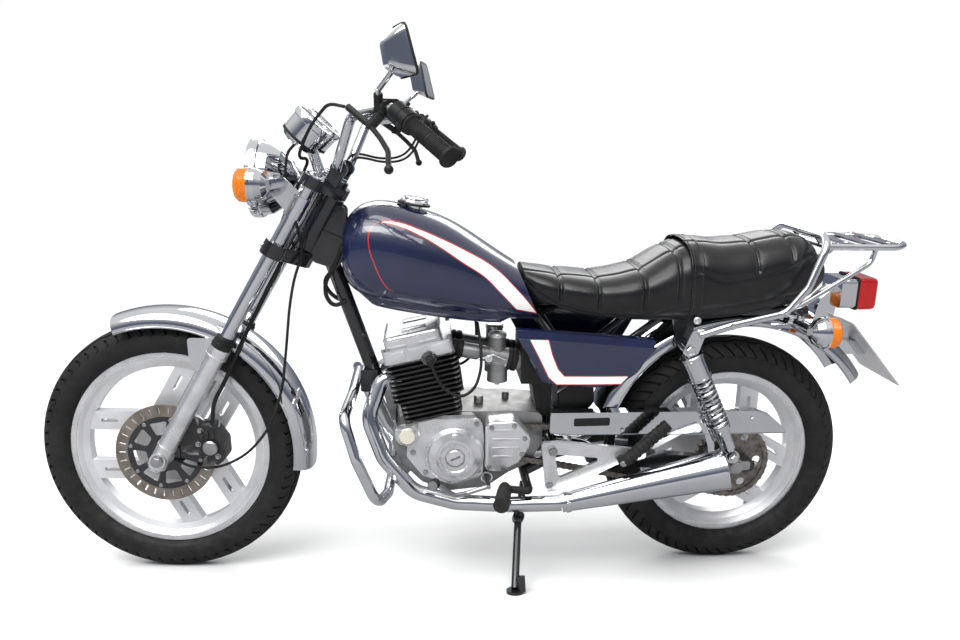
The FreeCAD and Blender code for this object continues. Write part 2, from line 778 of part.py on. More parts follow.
def hand_controls():
    """Switch housings, lever brackets, levers and the front master cylinder."""
    bar = tube([bar_points(-1)[k] for k in (4, 3, 2, 1)] + [bar_points(1)[k] for k in (1, 2, 3, 4)], bar_radius + seat_gap, 42.0)
    sides = []
    for side in both_sides:
        housing = on_bar(side, grip_length + 0.5, grip_length + 50.0, 23.0)
        perch = cylinder(perch_point(side, 14.0), perch_point(side, 48.0), 17.0)
        boss = perch_point(side, 30.0) + vec(-14, 0, 12)
        mirror_boss = cylinder(boss - vec(0, 0, 14), mirror_stem_points(side)[0] - vec(0, 0, 1), 9.0)
        arm = cylinder(perch_point(side, 30.0) + vec(-6, 0, -6), lever_pivot(side), 11.0)
        bracket = cylinder(lever_pivot(side), cable_seat(side), 7.5)
        whole = fused([housing, perch, mirror_boss, arm, bracket, hand_lever(side)])
        if side > 0:
            middle = perch_point(side, 66.0) + vec(-24, 0, 32)
            tank = level_plate([(middle.x - 32, middle.y - 24), (middle.x + 24, middle.y - 24),
                                (middle.x + 24, middle.y + 24), (middle.x - 32, middle.y + 24)], 8.0,
                               middle.z - 16, middle.z + 12)
            neck = cylinder(perch_point(side, 46.0) + vec(-8, 0, 0), middle, 13.0)
            whole = fused([whole, tank, neck])
        foot = cylinder(mirror_stem_points(side)[0], mirror_stem_points(side)[1], 6.0)
        sides.append(whole.cut(bar).cut(foot))
    return separate(sides)


def mirror_stem_points(side):
    base = perch_point(side, 30.0) + vec(-14, 0, 24)
    return [base, vec(-841, side * 262.0, 1162), vec(-811, side * 306.0, 1192), vec(-806, side * 322.0, 1212)]


def mirrors():
    """Chrome stems and shells; the glass is set in the rear face of each shell."""
    sides = []
    for side in both_sides:
        stem = tube(mirror_stem_points(side), 5.5, 25.0)
        centre = vec(-783, side * 336.0, 1229)
        back = rounded_face([vec(-42, -34, -24), vec(-42, 34, -24), vec(-28, 28, 38), vec(-28, -28, 38)], 10.0)
        front = rounded_face([vec(0, -64, -50), vec(0, 64, -50), vec(0, 46, 48), vec(0, -46, 48)], 14.0)
        shell = Part.makeLoft([back.OuterWire, front.OuterWire], True, True)
        shell.rotate(vec(0, 0, 0), right, -13)
        shell.rotate(vec(0, 0, 0), vec(0, 0, 1), -20 * side)
        shell.translate(centre)
        sides.append(fused([stem, shell]))
    return separate(sides)


def brake_caliper():
    """Caliper over the rear edge of the disc, on two lugs behind the left slider."""
    gap = 1.6
    y_disc0 = disc_y - disc_thickness / 2
    y_disc1 = disc_y + disc_thickness / 2
    outline = [(-1304, 400), (-1262, 398), (-1234, 360), (-1232, 318), (-1254, 296), (-1284, 312), (-1300, 352)]
    outer = side_plate(outline, 14.0, y_disc0 - gap - 24.0, y_disc0 - gap)
    inner = side_plate(outline, 14.0, y_disc1 + gap, y_disc1 + gap + 18.0)
    bridge_outline = [(-1262, 398), (-1234, 360), (-1232, 318), (-1246, 300), (-1256, 330), (-1262, 360), (-1276, 392)]
    bridge = side_plate(bridge_outline, 3.0, y_disc0 - gap - 10.0, y_disc1 + gap + 10.0)
    clear = Part.makeCylinder(disc_radius + 2.0, disc_thickness + 2 * gap, front_axle + right * (y_disc0 - gap), right)
    lugs = side_plate([(-1352, 398), (-1296, 418), (-1270, 396), (-1284, 330), (-1334, 330)], 10.0,
                      -fork_half_width + 6.0, -fork_half_width + 14.0)
    pistons = [Part.makeCylinder(17.0, 8.0, vec(-1266, y_disc0 - gap - 31.0, 345), right)]
    whole = fused([outer, inner, bridge.cut(clear), lugs] + pistons)
    leg = on_fork(cylinder(vec(0, -fork_half_width, -40), vec(0, -fork_half_width, 300), slider_radius + seat_gap))
    return whole.cut(leg)


def cable(points, radius):
    return tube(points, radius, 1000.0)


def front_cables():
    """Brake hose, speedometer cable and clutch cable, held along the fork."""
    hose = [fork_point(24, -63, lower_clamp_bottom - seat_gap), fork_point(26, -65, 500), fork_point(30, -67, 400),
            fork_point(36, -69, 310), vec(-1230, -71, 505), vec(-1260, -73, 450), vec(-1264, -73, 400.6)]
    axis = cup_axis()
    cup_end = vec(cup_face_x, -cup_half_spacing, cup_face_z) - axis * (cup_depth + seat_gap)
    speedo = [cup_end, cup_end - axis * 26.0, vec(-1078, -58, 990), fork_point(-34, -56, 700), fork_point(10, -54, 650),
              fork_point(56, -56, 600), fork_point(66, -62, 540), vec(-1070, -84, 690), vec(-1078, -94, 590),
              vec(-1090, -96, 490), vec(-1122, -92, 400), vec(-1178, -86, 330), vec(-1250, -78, 290),
              vec(-1322, -68, 286), vec(-1362.6, -66, 306)]
    seat_end = cable_seat(-1)
    clutch = [seat_end + vec(-7.8, 0, 1.0), seat_end + vec(-44, 16, 8), vec(-1006, -128, 1092), vec(-1040, -98, 1024),
              fork_point(-32, -54, 794), fork_point(-32, -34, 750), fork_point(-28, -30, 690),
              fork_point(-24, -28, lower_clamp_bottom + lower_clamp_thickness + 30.0),
              fork_point(-8, -28, lower_clamp_bottom + lower_clamp_thickness + 2.1)]
    return separate([cable(hose, 5.0), cable(speedo, 3.2), cable(clutch, 3.5)])


def fork_seals():
    """Rubber dust seals on top of the sliders."""
    seals = []
    for side in both_sides:
        y = side * fork_half_width
        body = turned([(slider_length + seat_gap, stanchion_radius + seat_gap), (slider_length + seat_gap, slider_radius + 2),
                       (slider_length + 10, slider_radius + 2), (slider_length + 14, slider_radius), (slider_length + 26,
                       slider_radius - 1), (slider_length + 30, stanchion_radius + 2), (slider_length + 30,
                       stanchion_radius + seat_gap)], vec(0, y, 0), vec(0, 0, 1))
        seals.append(on_fork(body))
    return separate(seals)


# Engine

def tilted(shape):
    """Leans a piece of the cylinder forward about the crankcase joint."""
    placed = shape.copy()
    placed.rotate(vec(0, 0, 0), right, -engine_tilt_deg)
    placed.translate(vec(cylinder_x, 0, cylinder_z))
    return placed


def engine_block():
    """Crankcase with the gearbox, one closed casting."""
    outline = [(-836, 428), (-790, 436), (-640, 430), (-560, 432), (-478, 426), (-474, 350), (-504, 296),
               (-560, 268), (-610, 232), (-700, 222), (-770, 250), (-822, 300), (-842, 360)]
    case = side_plate(outline, 18.0, -crank_half_width + 24.0, crank_half_width)
    left = side_plate([(-836, 428), (-640, 430), (-628, 380), (-628, 268), (-700, 232), (-770, 258), (-822, 310),
                       (-842, 360)], 18.0, -crank_half_width, -crank_half_width + 30.0)
    mount = side_plate([(-871, 478), (-846, 470), (-820, 400), (-846, 390)], 5.0, -22.0, 22.0)
    low_mount = side_plate([(-852, 286), (-812, 290), (-780, 250), (-826, 236), (-852, 246)], 6.0, -22.0, 22.0)
    whole = fused([case, left, mount, low_mount])
    sprocket = Part.makeCylinder(32.7, sprocket_thickness, vec(front_sprocket_x, sprocket_y - sprocket_thickness / 2,
                                                               front_sprocket_z), right)
    shaft = Part.makeCylinder(13.0, 20.0, vec(front_sprocket_x, sprocket_y, front_sprocket_z), right)
    whole = fused([whole.cut(cylinder_room()), sprocket, shaft])
    return max(whole.Solids, key=lambda solid: solid.Volume)


def cylinder_room():
    """Space above the sloped deck that the cylinder stands on."""
    half = fin_length / 2
    return tilted(box(-half - 4.0, half + 6.0, -fin_half_width - 60.0, fin_half_width + 60.0, 5.7 - seat_gap, 300.0))


def cylinder_block():
    """Finned twin cylinder block and head, leaned forward."""
    core = level_plate([(-58, -82), (58, -82), (58, 82), (-58, 82)], 14.0, 6.0, fin_pitch * fin_count)
    fins = []
    half = fin_length / 2
    for k in range(fin_count):
        z = 8.0 + fin_pitch * k
        shrink = 14.0 if k < 4 else 0.0
        fins.append(level_plate([(-half + shrink, -fin_half_width), (half - shrink, -fin_half_width),
                                 (half - shrink, fin_half_width), (-half + shrink, fin_half_width)],
                                16.0, z, z + fin_thickness))
    block = tilted(fused([core] + fins))
    for side in both_sides:
        points = header_points(side)
        block = block.cut(cylinder(points[0] + vec(0.6, 0, 0), points[1] + (points[1] - points[0]), header_radius + 8.0))
    return block


def head_cover():
    """Polished cam cover on top of the head."""
    base = fin_pitch * fin_count + seat_gap
    low = level_plate([(-84, -102), (84, -102), (84, 102), (-84, 102)], 14.0, base, base + 34.0)
    high = level_plate([(-76, -84), (62, -84), (62, 84), (-76, 84)], 16.0, base + 34.0, base + 62.0)
    high = high.makeFillet(10.0, [e for e in high.Edges if e.BoundBox.ZMin > base + 61.0])
    return tilted(fused([low, high]))


def engine_covers():
    """Alternator cover, starter end and sprocket cover on the left, clutch cover on the right."""
    y = -crank_half_width - seat_gap
    centre = vec(-692, 0, 338)
    dome = turned([(0, 0), (0, 70), (-26, 70), (-38, 62), (-44, 46), (-44, 24), (-41, 22), (-41, 0)],
                  centre + right * y, right)
    flange = side_plate([(-800, 424), (-628, 424), (-622, 376), (-624, 276), (-700, 256), (-770, 280), (-808, 330)],
                        20.0, y - 12.0, y)
    starter = turned([(0, 0), (0, 30), (-18, 30), (-22, 27), (-22, 24), (-30, 23), (-33, 19), (-33, 0)],
                     vec(-806, 0, 388) + right * y, right)
    left = fused([dome, flange, starter]).cut(cylinder_room())
    outline = [(-620, 424), (-548, 428), (-512, 388), (-512, 362), (-540, 318), (-580, 298), (-620, 300)]
    cover = side_plate(outline, 16.0, -134.0, -crank_half_width + 24.0 - seat_gap)
    cover = cover.makeFillet(7.0, [e for e in cover.Edges if e.BoundBox.YMax < -133.0])
    room = chain_room()
    sprocket_cover = cover.cut(room)
    right_y = crank_half_width + seat_gap
    clutch = turned([(0, 0), (0, 92), (26, 90), (38, 80), (42, 60), (42, 0)], vec(-640, 0, 338) + right * right_y, right)
    low_cover = side_plate([(-806, 410), (-600, 424), (-540, 380), (-560, 290), (-700, 246), (-800, 300)], 24.0,
                           right_y, right_y + 16.0)
    return separate([left, sprocket_cover, fused([clutch, low_cover]).cut(cylinder_room())])


def carburettors():
    """Two carburettors between the head and the airbox."""
    pieces = []
    for side in both_sides:
        y = side * 42.0
        body = cylinder(vec(-612, y, 566), vec(-566, y, 556), 26.0)
        front = cylinder(vec(-706, y, 584), vec(-606, y, 566), 19.0)
        back = cylinder(vec(-570, y, 557), vec(-532, y, 549), 23.0)
        bowl = Part.makeCylinder(25.0, 52.0, vec(-588, y, 500), vec(0, 0, 1))
        top = Part.makeCylinder(21.0, 52.0, vec(-590, y, 566), vec(0, 0, 1))
        pieces.append(fused([body, front, back, bowl, top]))
    bridge = Part.makeCylinder(8.0, 90.0, vec(-588, -45, 545), right)
    behind = box(airbox_front - seat_gap, airbox_front + 100.0, -100, 100, 400, 700)
    ahead = tilted(box(-200, fin_length / 2 + seat_gap, -130, 130, 0, 300))
    return fused(pieces + [bridge]).cut(behind).cut(ahead)


def airbox():
    front = side_plate([(airbox_front, 596), (-476, 596), (-476, 500), (airbox_front, 500)], 3.0, -72.0, 72.0)
    rear = side_plate([(-500, 590), (-470, 590), (-300, 600), (-300, 560), (-330, 490), (-500, 490)], 12.0, -34.0, 34.0)
    return fused([front, rear])


def plug_leads():
    """Spark plug cap and lead of each cylinder, looped back under the tank."""
    leads = []
    for side in both_sides:
        cap = cylinder(vec(-755, side * 104.7, 575), vec(-751, side * 128.0, 569), 9.0)
        lead = cable([vec(-752, side * 120.0, 570), vec(-738, side * 127.0, 534), vec(-714, side * 128.0, 500),
                      vec(-677, side * 126.0, 484), vec(-646, side * 120.0, 506), vec(-632, side * 108.0, 549),
                      vec(-632, side * 84.0, 596), vec(-640, side * 50.0, 648)], 3.6)
        leads.append(fused([cap, lead]))
    return separate(leads)


def header_points(side):
    return [vec(-822, side * 56.0, 508), vec(-866, side * 60.0, 512), vec(-900, side * 96.0, 424),
            vec(-862, side * 118.0, 330), vec(-790, side * 126.0, 246), vec(-690, side * 136.0, 222),
            vec(-560, side * 148.0, 220), vec(-436, side * 160.0, 228)]


def exhaust(side):
    """Header pipe and long tapered silencer of one side, open at the rear."""
    points = header_points(side)
    head = points[-1]
    tail = vec(-56, side * muffler_y, 328)
    run = tail - head
    pipe = tube(points, header_radius, 70.0)
    ring = cylinder(points[0] + vec(-24.0, side * 2.2, 2.2), points[0] + vec(-31.0, side * 2.8, 2.8), 25.0)
    clamp = cone(head, head + run * 0.06, header_radius + 3.5, header_radius + 4.5)
    shell = cone(head, tail, header_radius + 3.0, muffler_radius)
    hollow = cone(head + run * 0.06, tail + run * 0.01, header_radius + 1.0, muffler_radius - 1.5)
    outlet = cylinder(head + run * 0.8, tail - run * 0.03, 15.0)
    baffle = cone(head + run * 0.82, head + run * 0.83, 43.0, 43.5)
    shell = shell.cut(hollow)
    whole = fused([pipe, ring, clamp, shell, baffle.common(cone(head, tail, header_radius + 2.0, muffler_radius - 0.5)),
                   outlet])
    return whole.cut(cylinder(head + run * 0.78, tail + run * 0.1, 12.0))


def crash_bars():
    """Chrome loops in front of the engine, one each side, joined by the cross tube."""
    half = [vec(-842, 22.0 + 4 * seat_gap, 262), vec(-850, 150.0, 256), vec(-872, 224.0, 262), vec(-918, 226.0, 372),
            vec(-948, 202.0, 462), vec(-934, 90.0, 484)]
    left = [vec(p.x, -p.y, p.z) for p in half]
    return tube(half + list(reversed(left)), 12.5, 42.0)


# Frame and rear

def frame():
    """Single downtube frame with a backbone and twin rear rails."""
    head_low = fork_point(fork_offset, 0, lower_clamp_bottom + lower_clamp_thickness + 4.0)
    head_high = fork_point(fork_offset, 0, fork_top - upper_clamp_thickness - 4.0)
    head = cylinder(head_low, head_high, head_tube_radius)
    backbone = tube([fork_point(fork_offset, 0, 655), vec(-860, 0, 796), vec(-600, 0, 700), vec(-486, 0, 664)],
                    backbone_radius, 150.0)
    downtube = tube([fork_point(fork_offset, 0, 664), vec(-942, 0, 660), vec(-884, 0, 492)], downtube_radius, 100.0)
    engine_lug = side_plate([(-921, 520), (-880, 520), (-872, 480), (-880, 462), (-921, 464)], 5.0, -22.0, 22.0)
    pieces = [head, backbone, downtube, engine_lug]
    for side in both_sides:
        y = side * rail_half_spacing
        rail = tube([vec(-492, side * 12.0, 672), vec(-440, y, rail_z), vec(150, y, rail_z)], rail_radius, 60.0)
        post = tube([vec(-490, side * 16.0, 660), vec(post_x, side * post_y, 600), vec(post_x, side * post_y, 300),
                     vec(peg_cross_x, side * post_y, peg_cross_z)], post_radius, 40.0)
        stay = tube([vec(post_x, side * post_y, 470), vec(post_x + 40, side * 70.0, 510), vec(-180, y, rail_z)], 9.0, 60.0)
        bracket_stub = Part.makeCylinder(10.0, bracket_inner_y - seat_gap - post_y,
                                         vec(post_x - 12, min(side * post_y, side * (bracket_inner_y - seat_gap)), 352), right)
        pivot_lug = Part.makeCylinder(19.0, 8.0, vec(swingarm_pivot_x, side * 70.3 - 4.0, swingarm_pivot_z), right)
        pivot_arm = side_plate([(post_x, 360), (swingarm_pivot_x, 353), (swingarm_pivot_x, 315), (post_x, 306)], 2.0,
                               side * 70.3 - 4.0, side * 70.3 + 4.0)
        pivot_tie = cylinder(vec(post_x, side * post_y, 334), vec(post_x, side * 74.0, 334), 9.0)
        pieces.extend([bracket_stub, pivot_lug, pivot_arm, pivot_tie])
        shock_lug = Part.makeCylinder(14.0, shock_y - rail_half_spacing - 16.0,
                                      vec(shock_top_x, min(y, side * (shock_y - 14.0 - 2.0)), shock_top_z), right)
        lug_plate = side_plate([(shock_top_x - 30, rail_z), (shock_top_x + 34, rail_z), (shock_top_x + 15, shock_top_z - 12),
                                (shock_top_x - 15, shock_top_z - 12)], 8.0, y - 5.0, y + 5.0)
        stud = Part.makeCylinder(6.5, 36.0, vec(shock_top_x, side * shock_y - 18.0, shock_top_z), right)
        pieces.extend([rail, post, stay, shock_lug, lug_plate, stud])
    rear_cross = cylinder(vec(146, -rail_half_spacing, rail_z), vec(146, rail_half_spacing, rail_z), 8.0)
    mid_cross = cylinder(vec(post_x, -post_y, 420), vec(post_x, post_y, 420), 12.0)
    peg_cross = Part.makeCylinder(11.0, 2 * peg_cross_half, vec(peg_cross_x, -peg_cross_half, peg_cross_z), right)
    fender_cross = cylinder(vec(rear_fender_x, -rail_half_spacing, fender_cross_z()),
                            vec(rear_fender_x, rail_half_spacing, fender_cross_z()), 8.0)
    pieces.extend([rear_cross, fender_cross, mid_cross, stand_lug(), peg_cross])
    whole = fused(pieces)
    bore = cylinder(head_low - vec(math.sin(rake), 0, math.cos(rake)) * 10.0,
                    head_high + vec(math.sin(rake), 0, math.cos(rake)) * 10.0, stem_radius + running_gap)
    return whole.cut(bore)


def frame_cables():
    """Control cables and wiring held in a loop between the head and the downtube."""
    loop = [vec(-958, -29.4, 826), vec(-976, -36, 778), vec(-1000, -30, 740), vec(-1000, -26, 704), vec(-982, -28, 680),
            vec(-951, -23.4, 692)]
    inner = [vec(-940, 29.4, 818), vec(-980, 26, 770), vec(-1012, 24, 728), vec(-990, 24, 694), vec(-946, 23.4, 674)]
    return separate([cable(loop, 5.0), cable(inner, 5.0)])


def fender_cross_z():
    """Level of the cross tube that rests on the crown of the rear fender."""
    return rear_fender_z + rear_fender_radius + 8.0 + seat_gap


def swingarm():
    """Two box arms from the pivot tube to the rear axle."""
    pieces = [Part.makeCylinder(18.0, 2 * 66.0, vec(swingarm_pivot_x, -66, swingarm_pivot_z), right)]
    h = swingarm_tube_height / 2
    for side in both_sides:
        y = side * swingarm_half_spacing
        outline = [(swingarm_pivot_x + 36, swingarm_pivot_z + h), (-40, rear_tyre_radius + h), (44, rear_tyre_radius + h - 4),
                   (52, rear_tyre_radius - h + 6), (-40, rear_tyre_radius - h), (swingarm_pivot_x + 36, swingarm_pivot_z - h)]
        arm = side_plate(outline, 10.0, y - swingarm_tube_width / 2, y + swingarm_tube_width / 2)
        link = tube([vec(swingarm_pivot_x + 14, side * 48.0, swingarm_pivot_z),
                     vec(swingarm_pivot_x + 44, side * 58.0, swingarm_pivot_z),
                     vec(swingarm_pivot_x + 66, y, swingarm_pivot_z)], 15.0, 40.0)
        eye_length = shock_y - 13.0 - seat_gap - swingarm_half_spacing
        eye = Part.makeCylinder(12.0, eye_length, vec(shock_bottom_x, min(y, y + side * eye_length), shock_bottom_z), right)
        rib = side_plate([(shock_bottom_x - 18, rear_tyre_radius + h - 4), (shock_bottom_x - 10, shock_bottom_z + 8),
                          (shock_bottom_x + 10, shock_bottom_z + 8), (shock_bottom_x + 18, rear_tyre_radius + h - 4)],
                         3.0, y - 10.0, y + 10.0)
        stud = Part.makeCylinder(6.0, 34.0, vec(shock_bottom_x, side * (shock_y - 2.0) - 17.0, shock_bottom_z), right)
        pieces.extend([arm, link, eye, rib, stud])
    whole = fused(pieces)
    hole = Part.makeCylinder(rear_axle_radius + seat_gap, 400, rear_axle - right * 200, right)
    return whole.cut(hole)


def rear_axle_bar():
    half = swingarm_half_spacing + swingarm_tube_width / 2 + 14.0
    inner = swingarm_half_spacing - swingarm_tube_width / 2
    bar = Part.makeCylinder(rear_axle_radius, 2 * half, rear_axle - right * half, right)
    hub_left = sprocket_y - sprocket_thickness / 2
    left = Part.makeCylinder(15.0, inner + hub_left - 2 * seat_gap,
                             rear_axle - right * (inner - seat_gap), right)
    right_spacer = Part.makeCylinder(15.0, inner - 70.0 - 2 * seat_gap, rear_axle + right * (70.0 + seat_gap), right)
    nuts = [Part.makeCylinder(15.0, 13.0, rear_axle + right * (-half if side < 0 else half - 13.0), right)
            for side in both_sides]
    return fused([bar, left, right_spacer] + nuts)


def shocks():
    """Damper bodies: eyes, chrome top shroud and rod of both sides."""
    sides = []
    for side in both_sides:
        top = vec(shock_top_x, side * shock_y, shock_top_z)
        low = vec(shock_bottom_x, side * shock_y, shock_bottom_z)
        run = low - top
        eyes = [Part.makeCylinder(16.0, 24.0, spot - right * 12.0, right) for spot in (top, low)]
        shroud = cylinder(top + run * 0.06, top + run * 0.27, 27.0)
        rod = cylinder(top + run * 0.05, top + run * 0.97, 13.0)
        seat = cylinder(top + run * 0.70, top + run * 0.735, 26.0)
        body = fused(eyes + [shroud, rod, seat])
        holes = [Part.makeCylinder(6.5 + seat_gap, 60.0, top - right * 30.0, right),
                 Part.makeCylinder(6.0 + seat_gap, 60.0, low - right * 30.0, right)]
        sides.append(body.cut(Part.makeCompound(holes)))
    return separate(sides)


def shock_springs():
    """Coil springs as stacks of rings between the shroud and the lower seat."""
    sides = []
    for side in both_sides:
        top = vec(shock_top_x, side * shock_y, shock_top_z)
        low = vec(shock_bottom_x, side * shock_y, shock_bottom_z)
        run = low - top
        start = run.Length * 0.27 + seat_gap
        end = run.Length * 0.70 - seat_gap
        turns = 9
        axis = run * (1 / run.Length)
        profile = [(start, 14.0)]
        step = (end - start) / turns
        for k in range(turns):
            profile.extend([(start + step * (k + 0.15), 19.0), (start + step * (k + 0.35), 26.0),
                            (start + step * (k + 0.65), 26.0), (start + step * (k + 0.85), 19.0)])
        profile.append((end, 14.0))
        sides.append(turned(profile, top, axis))
    return separate(sides)


def chain_frame():
    """Centres and pitch radii of the chain's two wraps."""
    rear = vec(0, 0, rear_tyre_radius)
    front = vec(front_sprocket_x, 0, front_sprocket_z)
    rear_radius = chain_pitch / (2 * math.sin(math.pi / rear_teeth))
    front_radius = chain_pitch / (2 * math.sin(math.pi / front_teeth))
    return rear, front, rear_radius, front_radius


def chain_pins():
    """Pin positions round the loop: in the rear pockets, then evenly over the rest."""
    rear, front, rear_radius, front_radius = chain_frame()
    gap = rear - front
    reach = gap.Length
    slope = math.atan2(gap.z, gap.x)
    spread = math.acos((front_radius - rear_radius) / reach)
    upper = slope + spread
    lower = slope - spread
    step = 2 * math.pi / rear_teeth
    first = math.ceil((math.pi / 2 - upper) / step)
    last = math.floor((math.pi / 2 - lower) / step)
    pins = []
    for k in range(first, last + 1):
        angle = math.pi / 2 - k * step
        pins.append((rear.x + rear_radius * math.cos(angle), rear.z + rear_radius * math.sin(angle)))
    start_angle = math.pi / 2 - first * step
    end_angle = math.pi / 2 - last * step
    straight = math.sqrt(reach ** 2 - (rear_radius - front_radius) ** 2)
    lead_low = (end_angle - lower) * rear_radius
    lead_high = (upper - start_angle) * rear_radius
    wrap = (2 * math.pi - (upper - lower)) * front_radius
    total = lead_low + straight + wrap + straight + lead_high
    count = round(total / chain_pitch)
    for k in range(1, count):
        way = total * k / count
        if way < lead_low:
            angle = end_angle - way / rear_radius
            centre, radius = rear, rear_radius
        elif way < lead_low + straight:
            share = (way - lead_low) / straight
            pins.append(((1 - share) * (rear.x + rear_radius * math.cos(lower)) + share * (front.x + front_radius * math.cos(lower)),
                         (1 - share) * (rear.z + rear_radius * math.sin(lower)) + share * (front.z + front_radius * math.sin(lower))))
            continue
        elif way < lead_low + straight + wrap:
            angle = lower - (way - lead_low - straight) / front_radius
            centre, radius = front, front_radius
        elif way < lead_low + 2 * straight + wrap:
            share = (way - lead_low - straight - wrap) / straight
            pins.append(((1 - share) * (front.x + front_radius * math.cos(upper)) + share * (rear.x + rear_radius * math.cos(upper)),
                         (1 - share) * (front.z + front_radius * math.sin(upper)) + share * (rear.z + rear_radius * math.sin(upper))))
            continue
        else:
            angle = upper - (way - lead_low - 2 * straight - wrap) / rear_radius
            centre, radius = rear, rear_radius
        pins.append((centre.x + radius * math.cos(angle), centre.z + radius * math.sin(angle)))
    return pins


def chain_outline(pins, offset_pin, offset_waist):
    """Outline beside the pins: full at each pin, drawn in between pins."""
    corners = []
    count = len(pins)
    for i in range(count):
        back = pins[i - 1]
        here = pins[i]
        ahead = pins[(i + 1) % count]
        along = vec(ahead[0] - back[0], 0, ahead[1] - back[1])
        along.normalize()
        corners.append((here[0] - along.z * offset_pin, here[1] + along.x * offset_pin))
        step = vec(ahead[0] - here[0], 0, ahead[1] - here[1])
        step.normalize()
        middle = ((here[0] + ahead[0]) / 2, (here[1] + ahead[1]) / 2)
        corners.append((middle[0] - step.z * offset_waist, middle[1] + step.x * offset_waist))
    return corners


def chain():
    """Roller chain: two waisted side bands joined by a roller at each pin."""
    pins = chain_pins()
    outer = chain_outline(pins, 7.4, 5.4)
    inner = chain_outline(pins, -7.4, -5.4)
    bands = []
    half = chain_inner_width / 2
    for y0 in (sprocket_y - half - chain_plate, sprocket_y + half):
        faces = []
        for corners in (outer, inner):
            points = [vec(x, y0, z) for x, z in corners]
            faces.append(Part.Face(Part.makePolygon(points + [points[0]])))
        big, small = sorted(faces, key=lambda face: -face.Area)
        bands.append(big.cut(small).extrude(right * chain_plate))
    rollers = []
    for x, z in pins:
        corners = [vec(x + roller_radius * math.cos(a), sprocket_y - half - chain_plate / 2,
                       z + roller_radius * math.sin(a)) for a in (0.0, math.pi / 2, math.pi, 1.5 * math.pi)]
        rollers.append(Part.Face(Part.makePolygon(corners + [corners[0]])).extrude(
            right * (chain_inner_width + chain_plate)))
    return fused(bands + rollers)


def chain_room():
    """Space kept round the front of the chain inside the sprocket cover."""
    rear, front, rear_radius, front_radius = chain_frame()
    half = chain_inner_width / 2 + chain_plate + 4.0
    y0 = sprocket_y - half
    room = front_radius + 14.0
    round_end = Part.makeCylinder(room, 2 * half, front + right * y0, right)
    mouth = side_plate([(front.x, front.z + room), (front.x + 140, front.z + room + 22), (front.x + 140, front.z - room - 30),
                        (front.x, front.z - room)], 0.5, y0, y0 + 2 * half)
    return round_end.fuse(mouth)


def chain_guard():
    """Long chrome guard along the upper chain run."""
    outline = [(-462, 436), (44, 440), (88, 424), (126, 392), (128, 382), (-90, 381), (-438, 379), (-462, 384)]
    side = side_plate(outline, 8.0, -103.0, -101.2)
    top = side_plate([(-462, 436), (44, 440), (88, 424), (126, 392), (124.5, 390.5), (87, 421.8), (43.5, 438.2),
                      (-462, 434.2)], 0.3, -103.0, -72.0)
    tabs = [side_plate([(-300, 386), (-268, 386), (-268, 344.2), (-300, 347.3)], 1.0, -103.0, -101.2),
            side_plate([(-76, 388), (-50, 388), (-50, 323.4), (-76, 325.9)], 1.0, -103.0, -101.2)]
    return fused([side, top] + tabs)


def fuel_tank_sections(shrink):
    rows = [(-957, 62, 812, 856, 768, 2.2), (-942, 94, 806, 896, 732, 2.3), (-908, 117, 800, 922, 708, 2.4),
            (-852, 130, 790, 928, 692, 2.5), (-780, 135, 776, 912, 680, 2.5), (-700, 131, 760, 882, 668, 2.5),
            (-620, 118, 738, 833, 658, 2.5), (-556, 102, 716, 792, 654, 2.5), (-496, 90, 700, 756, 652, 2.5)]
    wires = []
    for x, half_width, widest, top, bottom, fullness in rows:
        at_x = min(max(x, rows[0][0] + shrink), rows[-1][0] - shrink)
        wires.append(section(at_x, half_width - shrink, widest, top - shrink, bottom + shrink, fullness))
    return wires


def fuel_tank():
    outer = Part.makeLoft(fuel_tank_sections(0.0), True, False)
    tunnel = side_plate([(-990, 640), (-990, 884), (-860, 829), (-600, 738), (-470, 704), (-470, 640)], 3.0, -36.0, 36.0)
    cap_neck = cylinder(cap_centre() - cap_tilt() * 15.0, cap_centre() + cap_tilt() * 30.0, 20.0 + seat_gap)
    return outer.cut(tunnel).cut(behind_tank(0.0)).cut(cap_neck)


def behind_tank(gap):
    """Space behind the sloped rear face of the tank, where the seat's nose begins."""
    return side_plate([(-556 + gap, 800), (-501 + gap, 676), (-485 + gap, 600), (-300, 600), (-300, 1000), (-645 + gap, 1000)],
                      0.5, -200.0, 200.0)


def cap_centre():
    return vec(-792, 0, 922)


def cap_tilt():
    return vec(math.sin(math.radians(9)), 0, math.cos(math.radians(9)))


def fuel_cap():
    return turned([(-12, 0), (-12, 20), (0, 20), (0, 33), (7, 33), (11, 30), (13, 24), (13, 0)], cap_centre(), cap_tilt())


def seat():
    rows = [(-538, 74, 752, 784, 716, 2.6), (-500, 98, 738, 778, 690, 2.8), (-440, 112, 724, 771, 664, 2.8),
            (-340, 124, 716, 767, 654, 2.8), (-250, 131, 722, 790, 650, 2.8), (-180, 134, 736, 832, 649, 2.8),
            (-121, 136, 744, 852, 650, 2.8), (-60, 136, 748, 849, 654, 2.8), (20, 135, 756, 858, 668, 2.8),
            (100, 130, 768, 871, 690, 2.7), (150, 118, 776, 858, 708, 2.5), (182, 92, 780, 822, 730, 2.3)]
    wires = [section(x, w, widest, top, bottom, fullness) for x, w, widest, top, bottom, fullness in rows]
    solid = Part.makeLoft(wires, True, False)
    channel = box(-600, 250, -rail_half_spacing - rail_radius - 3.0, rail_half_spacing + rail_radius + 3.0, 600,
                  rail_z + rail_radius + seat_gap)
    front = box(-600, -300, -200, 200, 600, 900).cut(behind_tank(0.4))
    cross = cylinder(vec(rear_fender_x, -120, fender_cross_z()), vec(rear_fender_x, 120, fender_cross_z()), 8.0 + seat_gap)
    return solid.cut(channel).cut(front).cut(cross)


